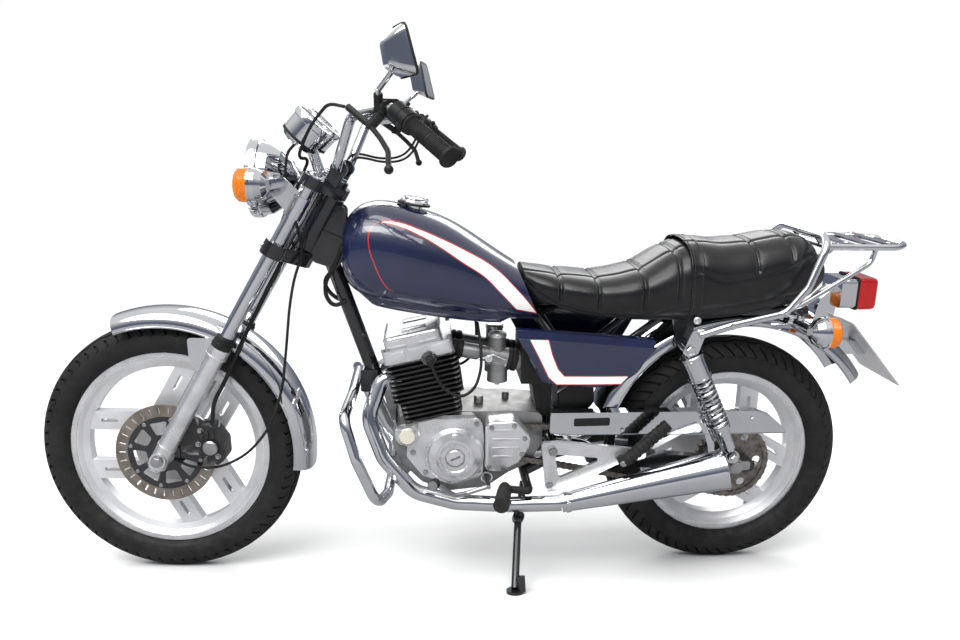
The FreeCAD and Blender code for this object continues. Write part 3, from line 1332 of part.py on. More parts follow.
def seat_strap():
    """Strap over the passenger seat with a bright bracket plate each side."""
    whole = seat()
    outer = swollen(whole, 3.2)
    inner = swollen(whole, 0.4)
    band = side_plate([(-150, 690), (-120, 690), (-124, 900), (-154, 900)], 1.0, -200.0, 200.0)
    under = box(-200, -100, -105, 105, 600, 724)
    return outer.cut(inner).common(band.cut(under))


def swollen(solid, extra):
    """The seat made thicker across and upwards by about this much."""
    middle = 740.0
    wide = 1 + extra / 136.0
    tall = 1 + extra / 108.0
    grow = FreeCAD.Matrix(1, 0, 0, 0, 0, wide, 0, 0, 0, 0, tall, middle * (1 - tall), 0, 0, 0, 1)
    return solid.transformGeometry(grow)


def side_covers():
    """Painted covers below the seat, one each side."""
    outline = [(-559, 650), (-219, 626), (-262, 545), (-300, 520), (-354, 508), (-484, 518), (-500, 540)]
    covers = []
    for side in both_sides:
        y = side * 118.0
        cover = side_plate(outline, 14.0, y - 16.0, y + 16.0)
        rim_edges = [e for e in cover.Edges if (e.BoundBox.YMin > y + 15.0 if side > 0 else e.BoundBox.YMax < y - 15.0)]
        cover = cover.makeFillet(8.0, rim_edges)
        stub_end = side * (post_y + post_radius + seat_gap)
        stub = Part.makeCylinder(6.0, abs(y - stub_end), vec(post_x, min(y, stub_end), 556), right)
        covers.append(fused([cover, stub]))
    return separate(covers)


def rear_fender():
    centre = vec(rear_fender_x, 0, rear_fender_z)
    shell = fender(centre, rear_fender_radius, rear_fender_half_width, fender_depth, fender_thickness,
                   rear_fender_front_deg, rear_fender_rear_deg)
    bracket = side_plate([(250, 600), (292, 560), (352.5, 560), (321.9, 594.4)], 1.0, -18.0, 18.0)
    inside = Part.makeCylinder(rear_fender_radius - 0.9, 200.0, vec(rear_fender_x, -100.0, rear_fender_z), right)
    return fused([shell, bracket.cut(inside)])


def grab_rail():
    """Chrome loop from the shock mounts round the back of the seat."""
    side_y = 160.0
    points = []
    for side in both_sides:
        run = [vec(-132, side * side_y, 646), vec(-60, side * side_y, 670), vec(66, side * side_y, 700),
               vec(112, side * side_y, 760), vec(160, side * (side_y - 18.0), 872)]
        points.extend(run if side < 0 else list(reversed(run)))
    pieces = [tube(points, 9.0, 50.0)]
    for side in both_sides:
        y0, y1 = sorted((side * (shock_y + 13.5), side * (shock_y + 17.5)))
        foot = side_plate([(-146, 656), (-112, 660), (-130, 600), (-149, 590), (-168, 602)], 8.0, y0, y1)
        pieces.append(foot.cut(Part.makeCylinder(6.5 + seat_gap, 20.0, vec(shock_top_x, y0 - 8.0, shock_top_z), right)))
    return fused(pieces)


def luggage_rack():
    """Tube loop with cross slats and two stays down to the grab rail."""
    z = rack_z
    x0, x1, w = rack_front_x, rack_rear_x, rack_half_width
    loop = tube([vec(x0, -w, z), vec(x1 - 44, -w + 4, z), vec(x1, -w + 50, z), vec(x1, w - 50, z),
                 vec(x1 - 44, w - 4, z), vec(x0, w, z)], rack_tube_radius, 42.0)
    front = cylinder(vec(x0 + 4, -w, z), vec(x0 + 4, w, z), rack_tube_radius)
    slats = [loop, front]
    for k in range(3):
        x = rack_deck_x() + rack_slat_pitch * (k - 1)
        slats.append(box(x - 12, x + 12, -w + 2, w - 2, z + 4, z + rack_tube_radius + 1))
    for side in both_sides:
        y = side * (w - 8.0)
        slats.append(tube([vec(64, side * 144.7, 700), vec(110, side * 136.0, 712), vec(290, y, 808),
                           vec(298, y, z - 4)], 6.0, 30.0))
        slats.append(cylinder(vec(x0 + 4, side * 60.0, z), vec(166.0, side * 60.0, 864.6), 5.0))
    holes = [cylinder(vec(rack_deck_x() + dx * rack_slat_pitch, dy * rack_slat_pitch, z - 2),
                      vec(rack_deck_x() + dx * rack_slat_pitch, dy * rack_slat_pitch, z + 30), rack_bolt_radius)
             for dx in both_sides for dy in both_sides]
    return fused(slats).cut(Part.makeCompound(holes))


def rack_deck_x():
    return (rack_front_x + rack_rear_x) / 2 - 2.0


def rack_deck_z():
    return rack_z + rack_tube_radius + 1.0


def rack_bolt_pcd():
    return 2 * math.sqrt(2) * rack_slat_pitch


def tail_lamp():
    """Chrome housing of the tail lamp on its bracket."""
    housing = turned_box(252, 294, 50.0, 686, 758, 10.0)
    neck = side_plate([(196, 630), (214, 706), (256, 742), (256, 690), (246, 600)], 6.0, -24.0, 24.0)
    return fused([housing, neck.cut(fender_room())])


def fender_room():
    """Everything inside the crown of the rear fender."""
    return Part.makeCylinder(rear_fender_radius + seat_gap, 200.0, vec(rear_fender_x, -100.0, rear_fender_z), right)


def turned_box(x0, x1, half_width, z0, z1, radius):
    """Box with rounded corners seen from behind."""
    corners = [vec(x0, -half_width, z0), vec(x0, half_width, z0), vec(x0, half_width, z1), vec(x0, -half_width, z1)]
    return rounded_face(corners, radius).extrude(vec(x1 - x0, 0, 0))


def tail_lens():
    return turned_box(294 + seat_gap, 344, 52.0, 682, 762, 12.0)


def rear_indicators():
    bodies = []
    for side in both_sides:
        y = side * rear_indicator_y
        body = indicator_body(rear_indicator_x, y, rear_indicator_z, 1)
        stalk = Part.makeCylinder(stalk_radius, rear_indicator_y - 74.0,
                                  vec(rear_indicator_x - 22.0, min(y, side * 74.0), rear_indicator_z), right)
        tab = cylinder(vec(rear_indicator_x - 22.0, side * rail_half_spacing, rear_indicator_z),
                       vec(rear_indicator_x - 22.0, side * rail_half_spacing, rail_z - rail_radius - seat_gap), 8.0)
        bodies.append(fused([body, stalk, tab]))
    return separate(bodies)


def rear_indicator_lenses():
    return separate([indicator_lens(rear_indicator_x, side * rear_indicator_y, rear_indicator_z, 1)
                     for side in both_sides])


def number_plate():
    """Blank plate on its holder behind the rear fender."""
    plate = side_plate([(268, 656), (406, 500), (408.5, 502), (270.5, 658)], 0.2, -92.0, 92.0)
    return plate


def peg_brackets():
    """Cast brackets that carry the silencers and passenger pegs."""
    sides = []
    for side in both_sides:
        y0 = side * bracket_inner_y
        y1 = side * (bracket_inner_y + 11.0)
        low, high = min(y0, y1), max(y0, y1)
        outline = [(-486, 372), (-440, 374), (-230, 352), (-230, 330), (-300, 314), (-420, 252), (-470, 244)]
        window = [(-452, 342), (-330, 331), (-440, 280)]
        plate = side_plate(outline, 9.0, low, high).cut(side_plate(window, 6.0, low - 5.0, high + 5.0))
        bolt = Part.makeCylinder(9.0, 6.0, vec(post_x - 12, y1 - 3.0 + side * 3.0, 352), right)
        sides.append(fused([plate, bolt]))
    return separate(sides)


def foot_pegs():
    """Front pegs on the cross tube and folded passenger pegs on the cast brackets."""
    pegs = []
    for side in both_sides:
        start = vec(peg_cross_x, side * (peg_cross_half + seat_gap), peg_cross_z)
        hanger = tube([start, start + vec(0, side * 12.0, 0), vec(-570, side * 163.0, 268)], 9.0, 8.0)
        knuckle = cylinder(vec(-573, side * 150.0, 268), vec(-575, side * 170.0, 270), 12.0)
        rubber = cylinder(vec(-574, side * 166.0, 269), vec(-595, side * 292.0, 291), 16.0)
        pegs.append(fused([hanger, knuckle, rubber]))
        base = vec(-290, side * (bracket_inner_y + 11.0 + seat_gap), 330)
        stub = Part.makeCylinder(11.0, 26.0, vec(base.x, min(base.y, base.y + side * 26.0), base.z), right)
        folded = cylinder(vec(-286, side * 152.0, 330), vec(-188, side * 156.0, 427), 14.0)
        pegs.append(fused([stub, folded]))
    return separate(pegs)


def foot_controls():
    """Shift lever on the left, brake pedal on the right."""
    sides = []
    for side in both_sides:
        tip = cylinder(vec(-738, side * 168.0, 288), vec(-746, side * 206.0, 298), 11.0)
        if side < 0:
            shaft_start = -crank_half_width + 24.0 - seat_gap
            pivot = Part.makeCylinder(6.0, 148.0 + 5.0 + shaft_start, vec(-612, -153.0, 268), right)
            rod = tube([vec(-612, -148, 268), vec(-662, -146, 250), vec(-692, -158, 250), vec(-738, -172, 286)], 5.5, 20.0)
            sides.append(fused([pivot, rod, tip]))
        else:
            pivot = Part.makeCylinder(18.0, 14.0, vec(peg_cross_x, 132.0, peg_cross_z), right)
            rod = tube([vec(peg_cross_x - 12, 138, peg_cross_z), vec(-610, 140, 264), vec(-692, 154, 258),
                        vec(-738, 172, 286)], 5.5, 20.0)
            hole = Part.makeCylinder(11.0 + seat_gap, 60.0, vec(peg_cross_x, 110.0, peg_cross_z), right)
            sides.append(fused([pivot, rod, tip]).cut(hole))
    return separate(sides)


# Side stand

def ground_point(x, y_lean):
    """Upright-frame point that comes to the ground at this place once the bike leans."""
    return stance().inverse().multVec(vec(x, y_lean, 0))


def stance():
    """Lean onto the stand, with the small nose pitch that puts both tyres on the ground."""
    pitch = 0.0
    for _ in range(4):
        place = FreeCAD.Placement(vec(0, 0, 0), FreeCAD.Rotation(vec(1, 0, 0), lean_deg)).multiply(
            FreeCAD.Placement(vec(0, 0, 0), FreeCAD.Rotation(right, math.degrees(pitch))))
        front_low = tyre_low(place, True)
        rear_low = tyre_low(place, False)
        pitch -= (front_low - rear_low) / wheelbase
    place.Base = place.Base - vec(0, 0, rear_low)
    return place


def tyre_low(place, front):
    """Height of a tyre's lowest point under a placement, from its ring and crown radius."""
    if front:
        centre, axis = steering_axis()
        turn = FreeCAD.Placement(vec(0, 0, 0), FreeCAD.Rotation(axis, rest_steer_deg), centre)
        spot = place.multVec(turn.multVec(front_axle))
        axle = place.Rotation.multVec(turn.Rotation.multVec(right))
        ring, crown = front_tyre_radius - front_tyre_half_width, front_tyre_half_width
    else:
        spot = place.multVec(rear_axle)
        axle = place.Rotation.multVec(right)
        ring, crown = rear_tyre_radius - rear_tyre_half_width, rear_tyre_half_width
    return spot.z - ring * math.sqrt(1 - axle.z ** 2) - crown


def stand_foot():
    """Middle of the stand's sole, on the ground, in the upright frame."""
    return ground_point(stand_foot_x, -252.0)


def stand_axis():
    """Axis the stand folds back about: square to the bike's length and to the leg."""
    down = stand_foot() - vec(stand_pivot_x, stand_pivot_y, stand_pivot_z)
    axis = vec(0, down.z, -down.y)
    axis.normalize()
    return axis


def side_stand():
    foot = stand_foot()
    up = stance().Rotation.inverted().multVec(vec(0, 0, 1))
    pivot = stand_pivot()
    axis = stand_axis()
    start = pivot - axis * 9.5
    leg = cylinder(start, foot + up * 10.0, 9.0).cut(cylinder(pivot - axis * 0.4, pivot + axis * 12.0, 16.0))
    sole = Part.makeCylinder(20.0, 7.0, foot, up)
    eye = cylinder(pivot - axis * 18.0, pivot - axis * 0.4, 14.0)
    block = cylinder(foot + up * 6.0 + vec(16, -6, 0), foot + up * 40.0 + vec(14, -2, 0), 9.0)
    return fused([leg, sole, eye, block])


def stand_pivot():
    return vec(stand_pivot_x, stand_pivot_y, stand_pivot_z)


def stand_lug():
    """Frame lug of the side stand: a strut from the cross tube to a disc square to the pivot's axis."""
    axis = stand_axis()
    disc = cylinder(stand_pivot() + axis * 0.4, stand_pivot() + axis * 10.0, 14.0)
    strut = cylinder(vec(-522, -104, peg_cross_z - 2), stand_pivot() + axis * 13.0, 9.0)
    below = cylinder(stand_pivot() - axis * 30.0, stand_pivot() + axis * 0.4, 60.0)
    return fused([disc, strut.cut(below)])


def build():
    """All nodes in the upright frame, straight ahead, as {body: {node: shape}}."""
    return {
        "frame": {
            "frame": frame(), "swingarm": swingarm(), "rear_axle": rear_axle_bar(),
            "engine_block": engine_block(), "cylinder_block": cylinder_block(), "head_cover": head_cover(),
            "engine_covers": engine_covers(), "carburettors": carburettors(), "airbox": airbox(), "plug_leads": plug_leads(), "frame_cables": frame_cables(),
            "exhaust_left": exhaust(-1), "exhaust_right": exhaust(1), "crash_bars": crash_bars(),
            "fuel_tank": fuel_tank(), "fuel_cap": fuel_cap(), "seat": seat(), "seat_strap": seat_strap(),
            "side_covers": side_covers(), "rear_fender": rear_fender(), "grab_rail": grab_rail(),
            "luggage_rack": luggage_rack(), "tail_lamp": tail_lamp(), "tail_lens": tail_lens(),
            "rear_indicators": rear_indicators(), "rear_indicator_lenses": rear_indicator_lenses(),
            "number_plate": number_plate(), "peg_brackets": peg_brackets(), "foot_pegs": foot_pegs(),
            "foot_controls": foot_controls(), "shocks": shocks(), "shock_springs": shock_springs(),
            "chain": chain(), "chain_guard": chain_guard(),
        },
        "rear_wheel": {"rear_wheel": rear_wheel(), "rear_tyre": rear_tyre(), "rear_sprocket": rear_sprocket()},
        "fork": {
            "fork_tubes": fork_tubes(), "fork_sliders": fork_sliders(), "fork_seals": fork_seals(),
            "fork_clamps": fork_clamps(),
            "front_axle": front_axle_bar(), "front_fender": front_fender(), "headlamp": headlamp(),
            "headlamp_lens": headlamp_lens(), "lamp_bracket": lamp_bracket(),
            "front_indicators": front_indicators(), "front_indicator_lenses": front_indicator_lenses(),
            "instruments": instruments(), "instrument_faces": instrument_faces(), "handlebar": handlebar(),
            "grips": grips(), "hand_controls": hand_controls(), "mirrors": mirrors(),
            "brake_caliper": brake_caliper(), "front_cables": front_cables(),
        },
        "front_wheel": {"front_wheel": front_wheel(), "front_tyre": front_tyre(), "brake_disc": brake_disc()},
        "side_stand": {"side_stand": side_stand()},
    }


def placed_nodes():
    """Every node leaned on its stand, with the origin under the middle of the whole bike."""
    place = stance()
    nodes = {}
    for body, shapes in build().items():
        for node, shape in shapes.items():
            if body in ("fork", "front_wheel"):
                shape = steered(shape)
            leaned = shape.copy()
            leaned.Placement = place.multiply(leaned.Placement)
            nodes[node] = leaned
    reach = FreeCAD.BoundBox()
    for shape in nodes.values():
        reach.add(shape.optimalBoundingBox())
    shift = vec(-reach.Center.x, -reach.Center.y, 0)
    for shape in nodes.values():
        shape.translate(shift)
    return nodes, shift


def main():
    os.makedirs("parts", exist_ok=True)
    nodes, shift = placed_nodes()
    for node, shape in nodes.items():
        shape.exportStep("parts/" + node + ".step")
        print(node, "solids", len(shape.Solids), "valid", shape.isValid(), "litres", round(shape.Volume / 1e6, 3))
    print("shift", round(shift.x, 3), round(shift.y, 3))


if __name__ == "__main__":
    main()
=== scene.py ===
import json
import math

import bmesh
import bpy
from mathutils import Matrix, Vector
from mathutils.bvhtree import BVHTree


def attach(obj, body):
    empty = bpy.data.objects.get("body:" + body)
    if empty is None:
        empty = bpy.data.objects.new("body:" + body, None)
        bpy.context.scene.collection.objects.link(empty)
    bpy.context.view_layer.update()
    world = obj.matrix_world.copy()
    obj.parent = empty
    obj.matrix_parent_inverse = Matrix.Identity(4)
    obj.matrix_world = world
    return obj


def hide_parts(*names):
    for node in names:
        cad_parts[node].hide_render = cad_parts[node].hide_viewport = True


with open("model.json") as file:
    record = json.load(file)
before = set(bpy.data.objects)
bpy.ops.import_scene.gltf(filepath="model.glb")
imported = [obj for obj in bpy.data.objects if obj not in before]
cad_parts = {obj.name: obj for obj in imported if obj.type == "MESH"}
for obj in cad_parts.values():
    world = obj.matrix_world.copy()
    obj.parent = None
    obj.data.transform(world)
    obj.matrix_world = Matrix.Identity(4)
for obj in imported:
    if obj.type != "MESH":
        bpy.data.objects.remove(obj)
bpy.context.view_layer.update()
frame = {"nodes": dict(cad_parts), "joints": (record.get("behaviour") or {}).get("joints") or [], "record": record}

# Cruiser motorcycle on its side stand. Pieces are drawn upright in millimetres,
# +X to the rear, -Y to the rider's left, and leaned into the row frame at the end.

# Stance
lean = math.radians(10.5)
nose_pitch = math.radians(0.038272)
rake = math.radians(29.5)
rest_steer = math.radians(-4.4)
trail = 126.0
front_axle = Vector((-1385.0, 0.0, 318.0))
rear_axle = Vector((0.0, 0.0, 302.0))
right = Vector((0.0, 1.0, 0.0))
both_sides = (-1, 1)
fork_offset = (front_axle.z * math.tan(rake) - trail) * math.cos(rake)

# Wheels and tyres
front_tyre_radius = 318.0
front_tyre_half_width = 46.0
front_rim_radius = 242.5
front_rim_half_width = 30.0
rear_tyre_radius = 302.0
rear_tyre_half_width = 58.0
rear_rim_radius = 216.0
rear_rim_half_width = 37.0

# Shocks
shock_y = 136.0
shock_top = Vector((-149.0, 0.0, 609.0))
shock_bottom = Vector((-19.0, 0.0, 338.0))

lean_turn = Matrix.Rotation(lean, 4, "X") @ Matrix.Rotation(nose_pitch, 4, "Y")
spin = next(joint for joint in frame["joints"] if joint["name"] == "rear_wheel_spin")
origin = Vector(spin["pos_m"]) * 1000.0 - lean_turn @ rear_axle
to_row = Matrix.Scale(0.001, 4) @ Matrix.Translation(origin) @ lean_turn


def fork_point(n, y, s):
    """Point on the fork: n behind the leg line, s up along it from the axle."""
    return Vector((front_axle.x + s * math.sin(rake) + n * math.cos(rake), y,
                   front_axle.z + s * math.cos(rake) - n * math.sin(rake)))


steer_axis = Vector((math.sin(rake), 0.0, math.cos(rake)))
steer_foot = fork_point(fork_offset, 0.0, 0.0)
steer_turn = (Matrix.Translation(steer_foot) @ Matrix.Rotation(rest_steer, 4, steer_axis)
              @ Matrix.Translation(-steer_foot))
row_of = {"frame": to_row, "rear_wheel": to_row, "side_stand": to_row,
          "fork": to_row @ steer_turn, "front_wheel": to_row @ steer_turn}

# Camera
camera_spot = Vector((-769.9, -1925.3, 1125.6))
camera_yaw = math.radians(4.16)
camera_pitch = math.radians(-14.09)
camera_roll = math.radians(1.24)
focal_pixels = 810.6
frame_pixels = 960.0
sensor_width = 36.0


def make_camera():
    """Camera at its spot beside the upright bike, leaned into the row frame with it."""
    flat = math.cos(camera_pitch)
    ahead = Vector((math.sin(camera_yaw) * flat, math.cos(camera_yaw) * flat, math.sin(camera_pitch)))
    level = ahead.cross(Vector((0, 0, 1))).normalized()
    up = level.cross(ahead)
    across = level * math.cos(camera_roll) + up * math.sin(camera_roll)
    top = up * math.cos(camera_roll) - level * math.sin(camera_roll)
    pose = Matrix((across, top, -ahead)).transposed().to_4x4()
    data = bpy.data.cameras.new("camera")
    data.sensor_fit = "HORIZONTAL"
    data.sensor_width = sensor_width
    data.lens = focal_pixels / frame_pixels * sensor_width
    data.clip_start = 0.05
    data.clip_end = 60.0
    camera = bpy.data.objects.new("camera", data)
    bpy.context.scene.collection.objects.link(camera)
    camera.matrix_world = Matrix.Translation(to_row @ camera_spot) @ lean_turn.to_3x3().to_4x4() @ pose
    bpy.context.scene.camera = camera


make_camera()
bpy.context.scene.view_settings.view_transform = "Standard"

# Shader groups


def node(tree, kind, **settings):
    """New node of this kind with these settings."""
    made = tree.nodes.new(kind)
    for key, value in settings.items():
        setattr(made, key, value)
    return made


def put(tree, item, socket):
    """Feeds a socket with another socket or with a plain value."""
    if isinstance(item, bpy.types.NodeSocket):
        tree.links.new(item, socket)
    else:
        socket.default_value = item


def group(name, inputs, outputs):
    """Empty shader group with its sockets, and its two end nodes."""
    tree = bpy.data.node_groups.new(name, "ShaderNodeTree")
    for label, kind, value in inputs:
        socket = tree.interface.new_socket(label, in_out="INPUT", socket_type="NodeSocket" + kind)
        socket.default_value = value
    for label, kind in outputs:
        tree.interface.new_socket(label, in_out="OUTPUT", socket_type="NodeSocket" + kind)
    return tree, node(tree, "NodeGroupInput"), node(tree, "NodeGroupOutput")


def noise(tree, scale, detail):
    """Noise over the piece's own coordinates."""
    made = node(tree, "ShaderNodeTexNoise")
    put(tree, node(tree, "ShaderNodeTexCoord").outputs["Object"], made.inputs["Vector"])
    put(tree, detail, made.inputs["Detail"])
    put(tree, scale, made.inputs["Scale"])
    return made.outputs[0]


def maths(tree, operation, a, b=None, clamp=False):
    """Result of one step of arithmetic on sockets or numbers."""
    made = node(tree, "ShaderNodeMath", operation=operation, use_clamp=clamp)
    put(tree, a, made.inputs[0])
    if b is not None:
        put(tree, b, made.inputs[1])
    return made.outputs[0]


def times(tree, a, b):
    """Product of two sockets or numbers."""
    return maths(tree, "MULTIPLY", a, b)


def between(tree, value, low, high, to_low=0.0, to_high=1.0):
    """Value carried from one range to another and held at the ends."""
    made = node(tree, "ShaderNodeMapRange", clamp=True)
    for k, item in enumerate((value, low, high, to_low, to_high)):
        put(tree, item, made.inputs[k])
    return made.outputs[0]


def mixed(tree, factor, a, b):
    """Colour between two others."""
    made = node(tree, "ShaderNodeMix", data_type="RGBA")
    for k, item in ((0, factor), (6, a), (7, b)):
        put(tree, item, made.inputs[k])
    return made.outputs[2]


def split_axes(tree, vector):
    """The three numbers of a vector socket."""
    made = node(tree, "ShaderNodeSeparateXYZ")
    put(tree, vector, made.inputs[0])
    return made.outputs


def mottle_group():
    """Cloudy change of colour and roughness with a fine height."""
    tree, start, end = group("mottle", [
        ("Colour", "Color", (0.5, 0.5, 0.5, 1)), ("Shade", "Color", (0.4, 0.4, 0.4, 1)),
        ("Scale", "Float", 12.0), ("Low roughness", "Float", 0.3), ("High roughness", "Float", 0.5),
        ("Grain scale", "Float", 900.0), ("Grain", "Float", 0.2)],
        [("Colour", "Color"), ("Roughness", "Float"), ("Height", "Float")])
    given = start.outputs
    clouds = noise(tree, given["Scale"], 5.0)
    patches = between(tree, clouds, 0.36, 0.66)
    grain = noise(tree, given["Grain scale"], 2.0)
    put(tree, mixed(tree, patches, given["Colour"], given["Shade"]), end.inputs["Colour"])
    spread = maths(tree, "SUBTRACT", given["High roughness"], given["Low roughness"])
    blend = maths(tree, "ADD", times(tree, clouds, 0.7), times(tree, grain, 0.3))
    rough = maths(tree, "ADD", given["Low roughness"], times(tree, spread, blend))
    put(tree, rough, end.inputs["Roughness"])
    put(tree, times(tree, grain, given["Grain"]), end.inputs["Height"])
    return tree


def dust_group():
    """Pale road dust that gathers low down and on upward faces."""
    tree, start, end = group("road_dust", [
        ("Colour", "Color", (0.5, 0.5, 0.5, 1)), ("Roughness", "Float", 0.4), ("Amount", "Float", 0.3),
        ("Top", "Float", 0.6)],
        [("Colour", "Color"), ("Roughness", "Float")])
    height = split_axes(tree, node(tree, "ShaderNodeTexCoord").outputs["Object"])[2]
    low = between(tree, height, 0.0, start.outputs["Top"], 1.0, 0.25)
    facing = split_axes(tree, node(tree, "ShaderNodeNewGeometry").outputs["Normal"])[2]
    upward = between(tree, facing, -0.2, 1.0, 0.35, 1.0)
    specks = between(tree, noise(tree, 55.0, 8.0), 0.42, 0.68)
    powder = times(tree, specks, start.outputs["Amount"])
    mask = maths(tree, "MULTIPLY", times(tree, low, upward), powder, clamp=True)
    put(tree, mixed(tree, mask, start.outputs["Colour"], (0.32, 0.29, 0.25, 1)), end.inputs["Colour"])
    duller = maths(tree, "ADD", start.outputs["Roughness"], times(tree, mask, 0.5), clamp=True)
    put(tree, duller, end.inputs["Roughness"])
    return tree


def wear_group():
    """Paint rubbed bright along raised edges."""
    tree, start, end = group("edge_wear", [
        ("Colour", "Color", (0.02, 0.02, 0.02, 1)), ("Bare", "Color", (0.4, 0.4, 0.4, 1)),
        ("Amount", "Float", 0.3)],
        [("Colour", "Color")])
    edges = between(tree, node(tree, "ShaderNodeNewGeometry").outputs["Pointiness"], 0.53, 0.62)
    broken = between(tree, noise(tree, 140.0, 6.0), 0.4, 0.6)
    mask = maths(tree, "MULTIPLY", times(tree, edges, broken), start.outputs["Amount"], clamp=True)
    put(tree, mixed(tree, mask, start.outputs["Colour"], start.outputs["Bare"]), end.inputs["Colour"])
    return tree


def pebble_group():
    """Pressed leather grain of vinyl."""
    tree, start, end = group("pebble_grain", [("Scale", "Float", 500.0), ("Depth", "Float", 1.0)],
                             [("Height", "Float")])
    cells = node(tree, "ShaderNodeTexVoronoi", feature="SMOOTH_F1")
    put(tree, node(tree, "ShaderNodeTexCoord").outputs["Object"], cells.inputs["Vector"])
    put(tree, start.outputs["Scale"], cells.inputs["Scale"])
    height = maths(tree, "ADD", cells.outputs["Distance"], times(tree, noise(tree, 60.0, 4.0), 0.4))
    put(tree, times(tree, height, start.outputs["Depth"]), end.inputs["Height"])
    return tree


groups = {"mottle": mottle_group(), "dust": dust_group(), "wear": wear_group(),
          "pebble": pebble_group()}


def use_group(tree, name, **values):
    """Outputs of a shader group whose inputs get sockets, numbers or colours of three parts."""
    made = node(tree, "ShaderNodeGroup", node_tree=groups[name])
    for label, value in values.items():
        put(tree, (*value, 1) if isinstance(value, tuple) else value, made.inputs[label.replace("_", " ")])
    return made.outputs


def bump(tree, height, distance, strength=1.0):
    """Normal of a surface with this height on it."""
    made = node(tree, "ShaderNodeBump")
    put(tree, strength, made.inputs["Strength"])
    put(tree, distance, made.inputs["Distance"])
    put(tree, height, made.inputs["Height"])
    return made.outputs[0]


def shaded(name, colour, shade, rough, scale=12.0, grain=(900.0, 0.2, 0.00004), dust=0.0, wear=None,
           **settings):
    """Material with clouds, grain, dust and edge wear; the settings go on the shader's own sockets."""
    material = bpy.data.materials.new(name)
    material.use_nodes = True
    tree = material.node_tree
    sockets = tree.nodes["Principled BSDF"].inputs
    grain_scale, grain_share, grain_height = grain
    cloud = use_group(tree, "mottle", Colour=colour, Shade=shade, Scale=scale, Low_roughness=rough[0],
                      High_roughness=rough[1], Grain_scale=grain_scale, Grain=grain_share)
    tone, gloss = cloud["Colour"], cloud["Roughness"]
    if wear:
        tone = use_group(tree, "wear", Colour=tone, Bare=wear[0], Amount=wear[1])["Colour"]
    if dust:
        powder = use_group(tree, "dust", Colour=tone, Roughness=gloss, Amount=dust)
        tone, gloss = powder["Colour"], powder["Roughness"]
    put(tree, tone, sockets["Base Color"])
    put(tree, gloss, sockets["Roughness"])
    put(tree, bump(tree, cloud["Height"], grain_height), sockets["Normal"])
    for label, value in settings.items():
        sockets[label.replace("_", " ")].default_value = value
    return material


def vinyl_material():
    """Black vinyl of the seat with its pressed grain."""
    material = shaded("seat_vinyl", (0.004, 0.004, 0.0045), (0.008, 0.008, 0.0085), (0.22, 0.36), dust=0.02,
                      Sheen_Weight=0.03, Specular_IOR_Level=0.42)
    tree = material.node_tree
    pebbles = use_group(tree, "pebble", Scale=420.0, Depth=1.0)["Height"]
    put(tree, bump(tree, pebbles, 0.0004, 0.55), tree.nodes["Principled BSDF"].inputs["Normal"])
    return material


def glass_material(name, colour, rough, weight, ior=1.5):
    """Clear or tinted glass; weight is the share of light that it lets through."""
    return shaded(name, colour, tuple(c * 0.93 for c in colour), (rough, rough + 0.06), scale=30.0,
                  grain=(400.0, 0.15, 0.00005), Transmission_Weight=weight, IOR=ior)


def navy_material(name):
    """Glossy navy enamel of the tank and the side covers."""
    return shaded(name, (0.006, 0.011, 0.047), (0.004, 0.0075, 0.034), (0.22, 0.3), Coat_Weight=1.0,
                  Coat_Roughness=0.03)


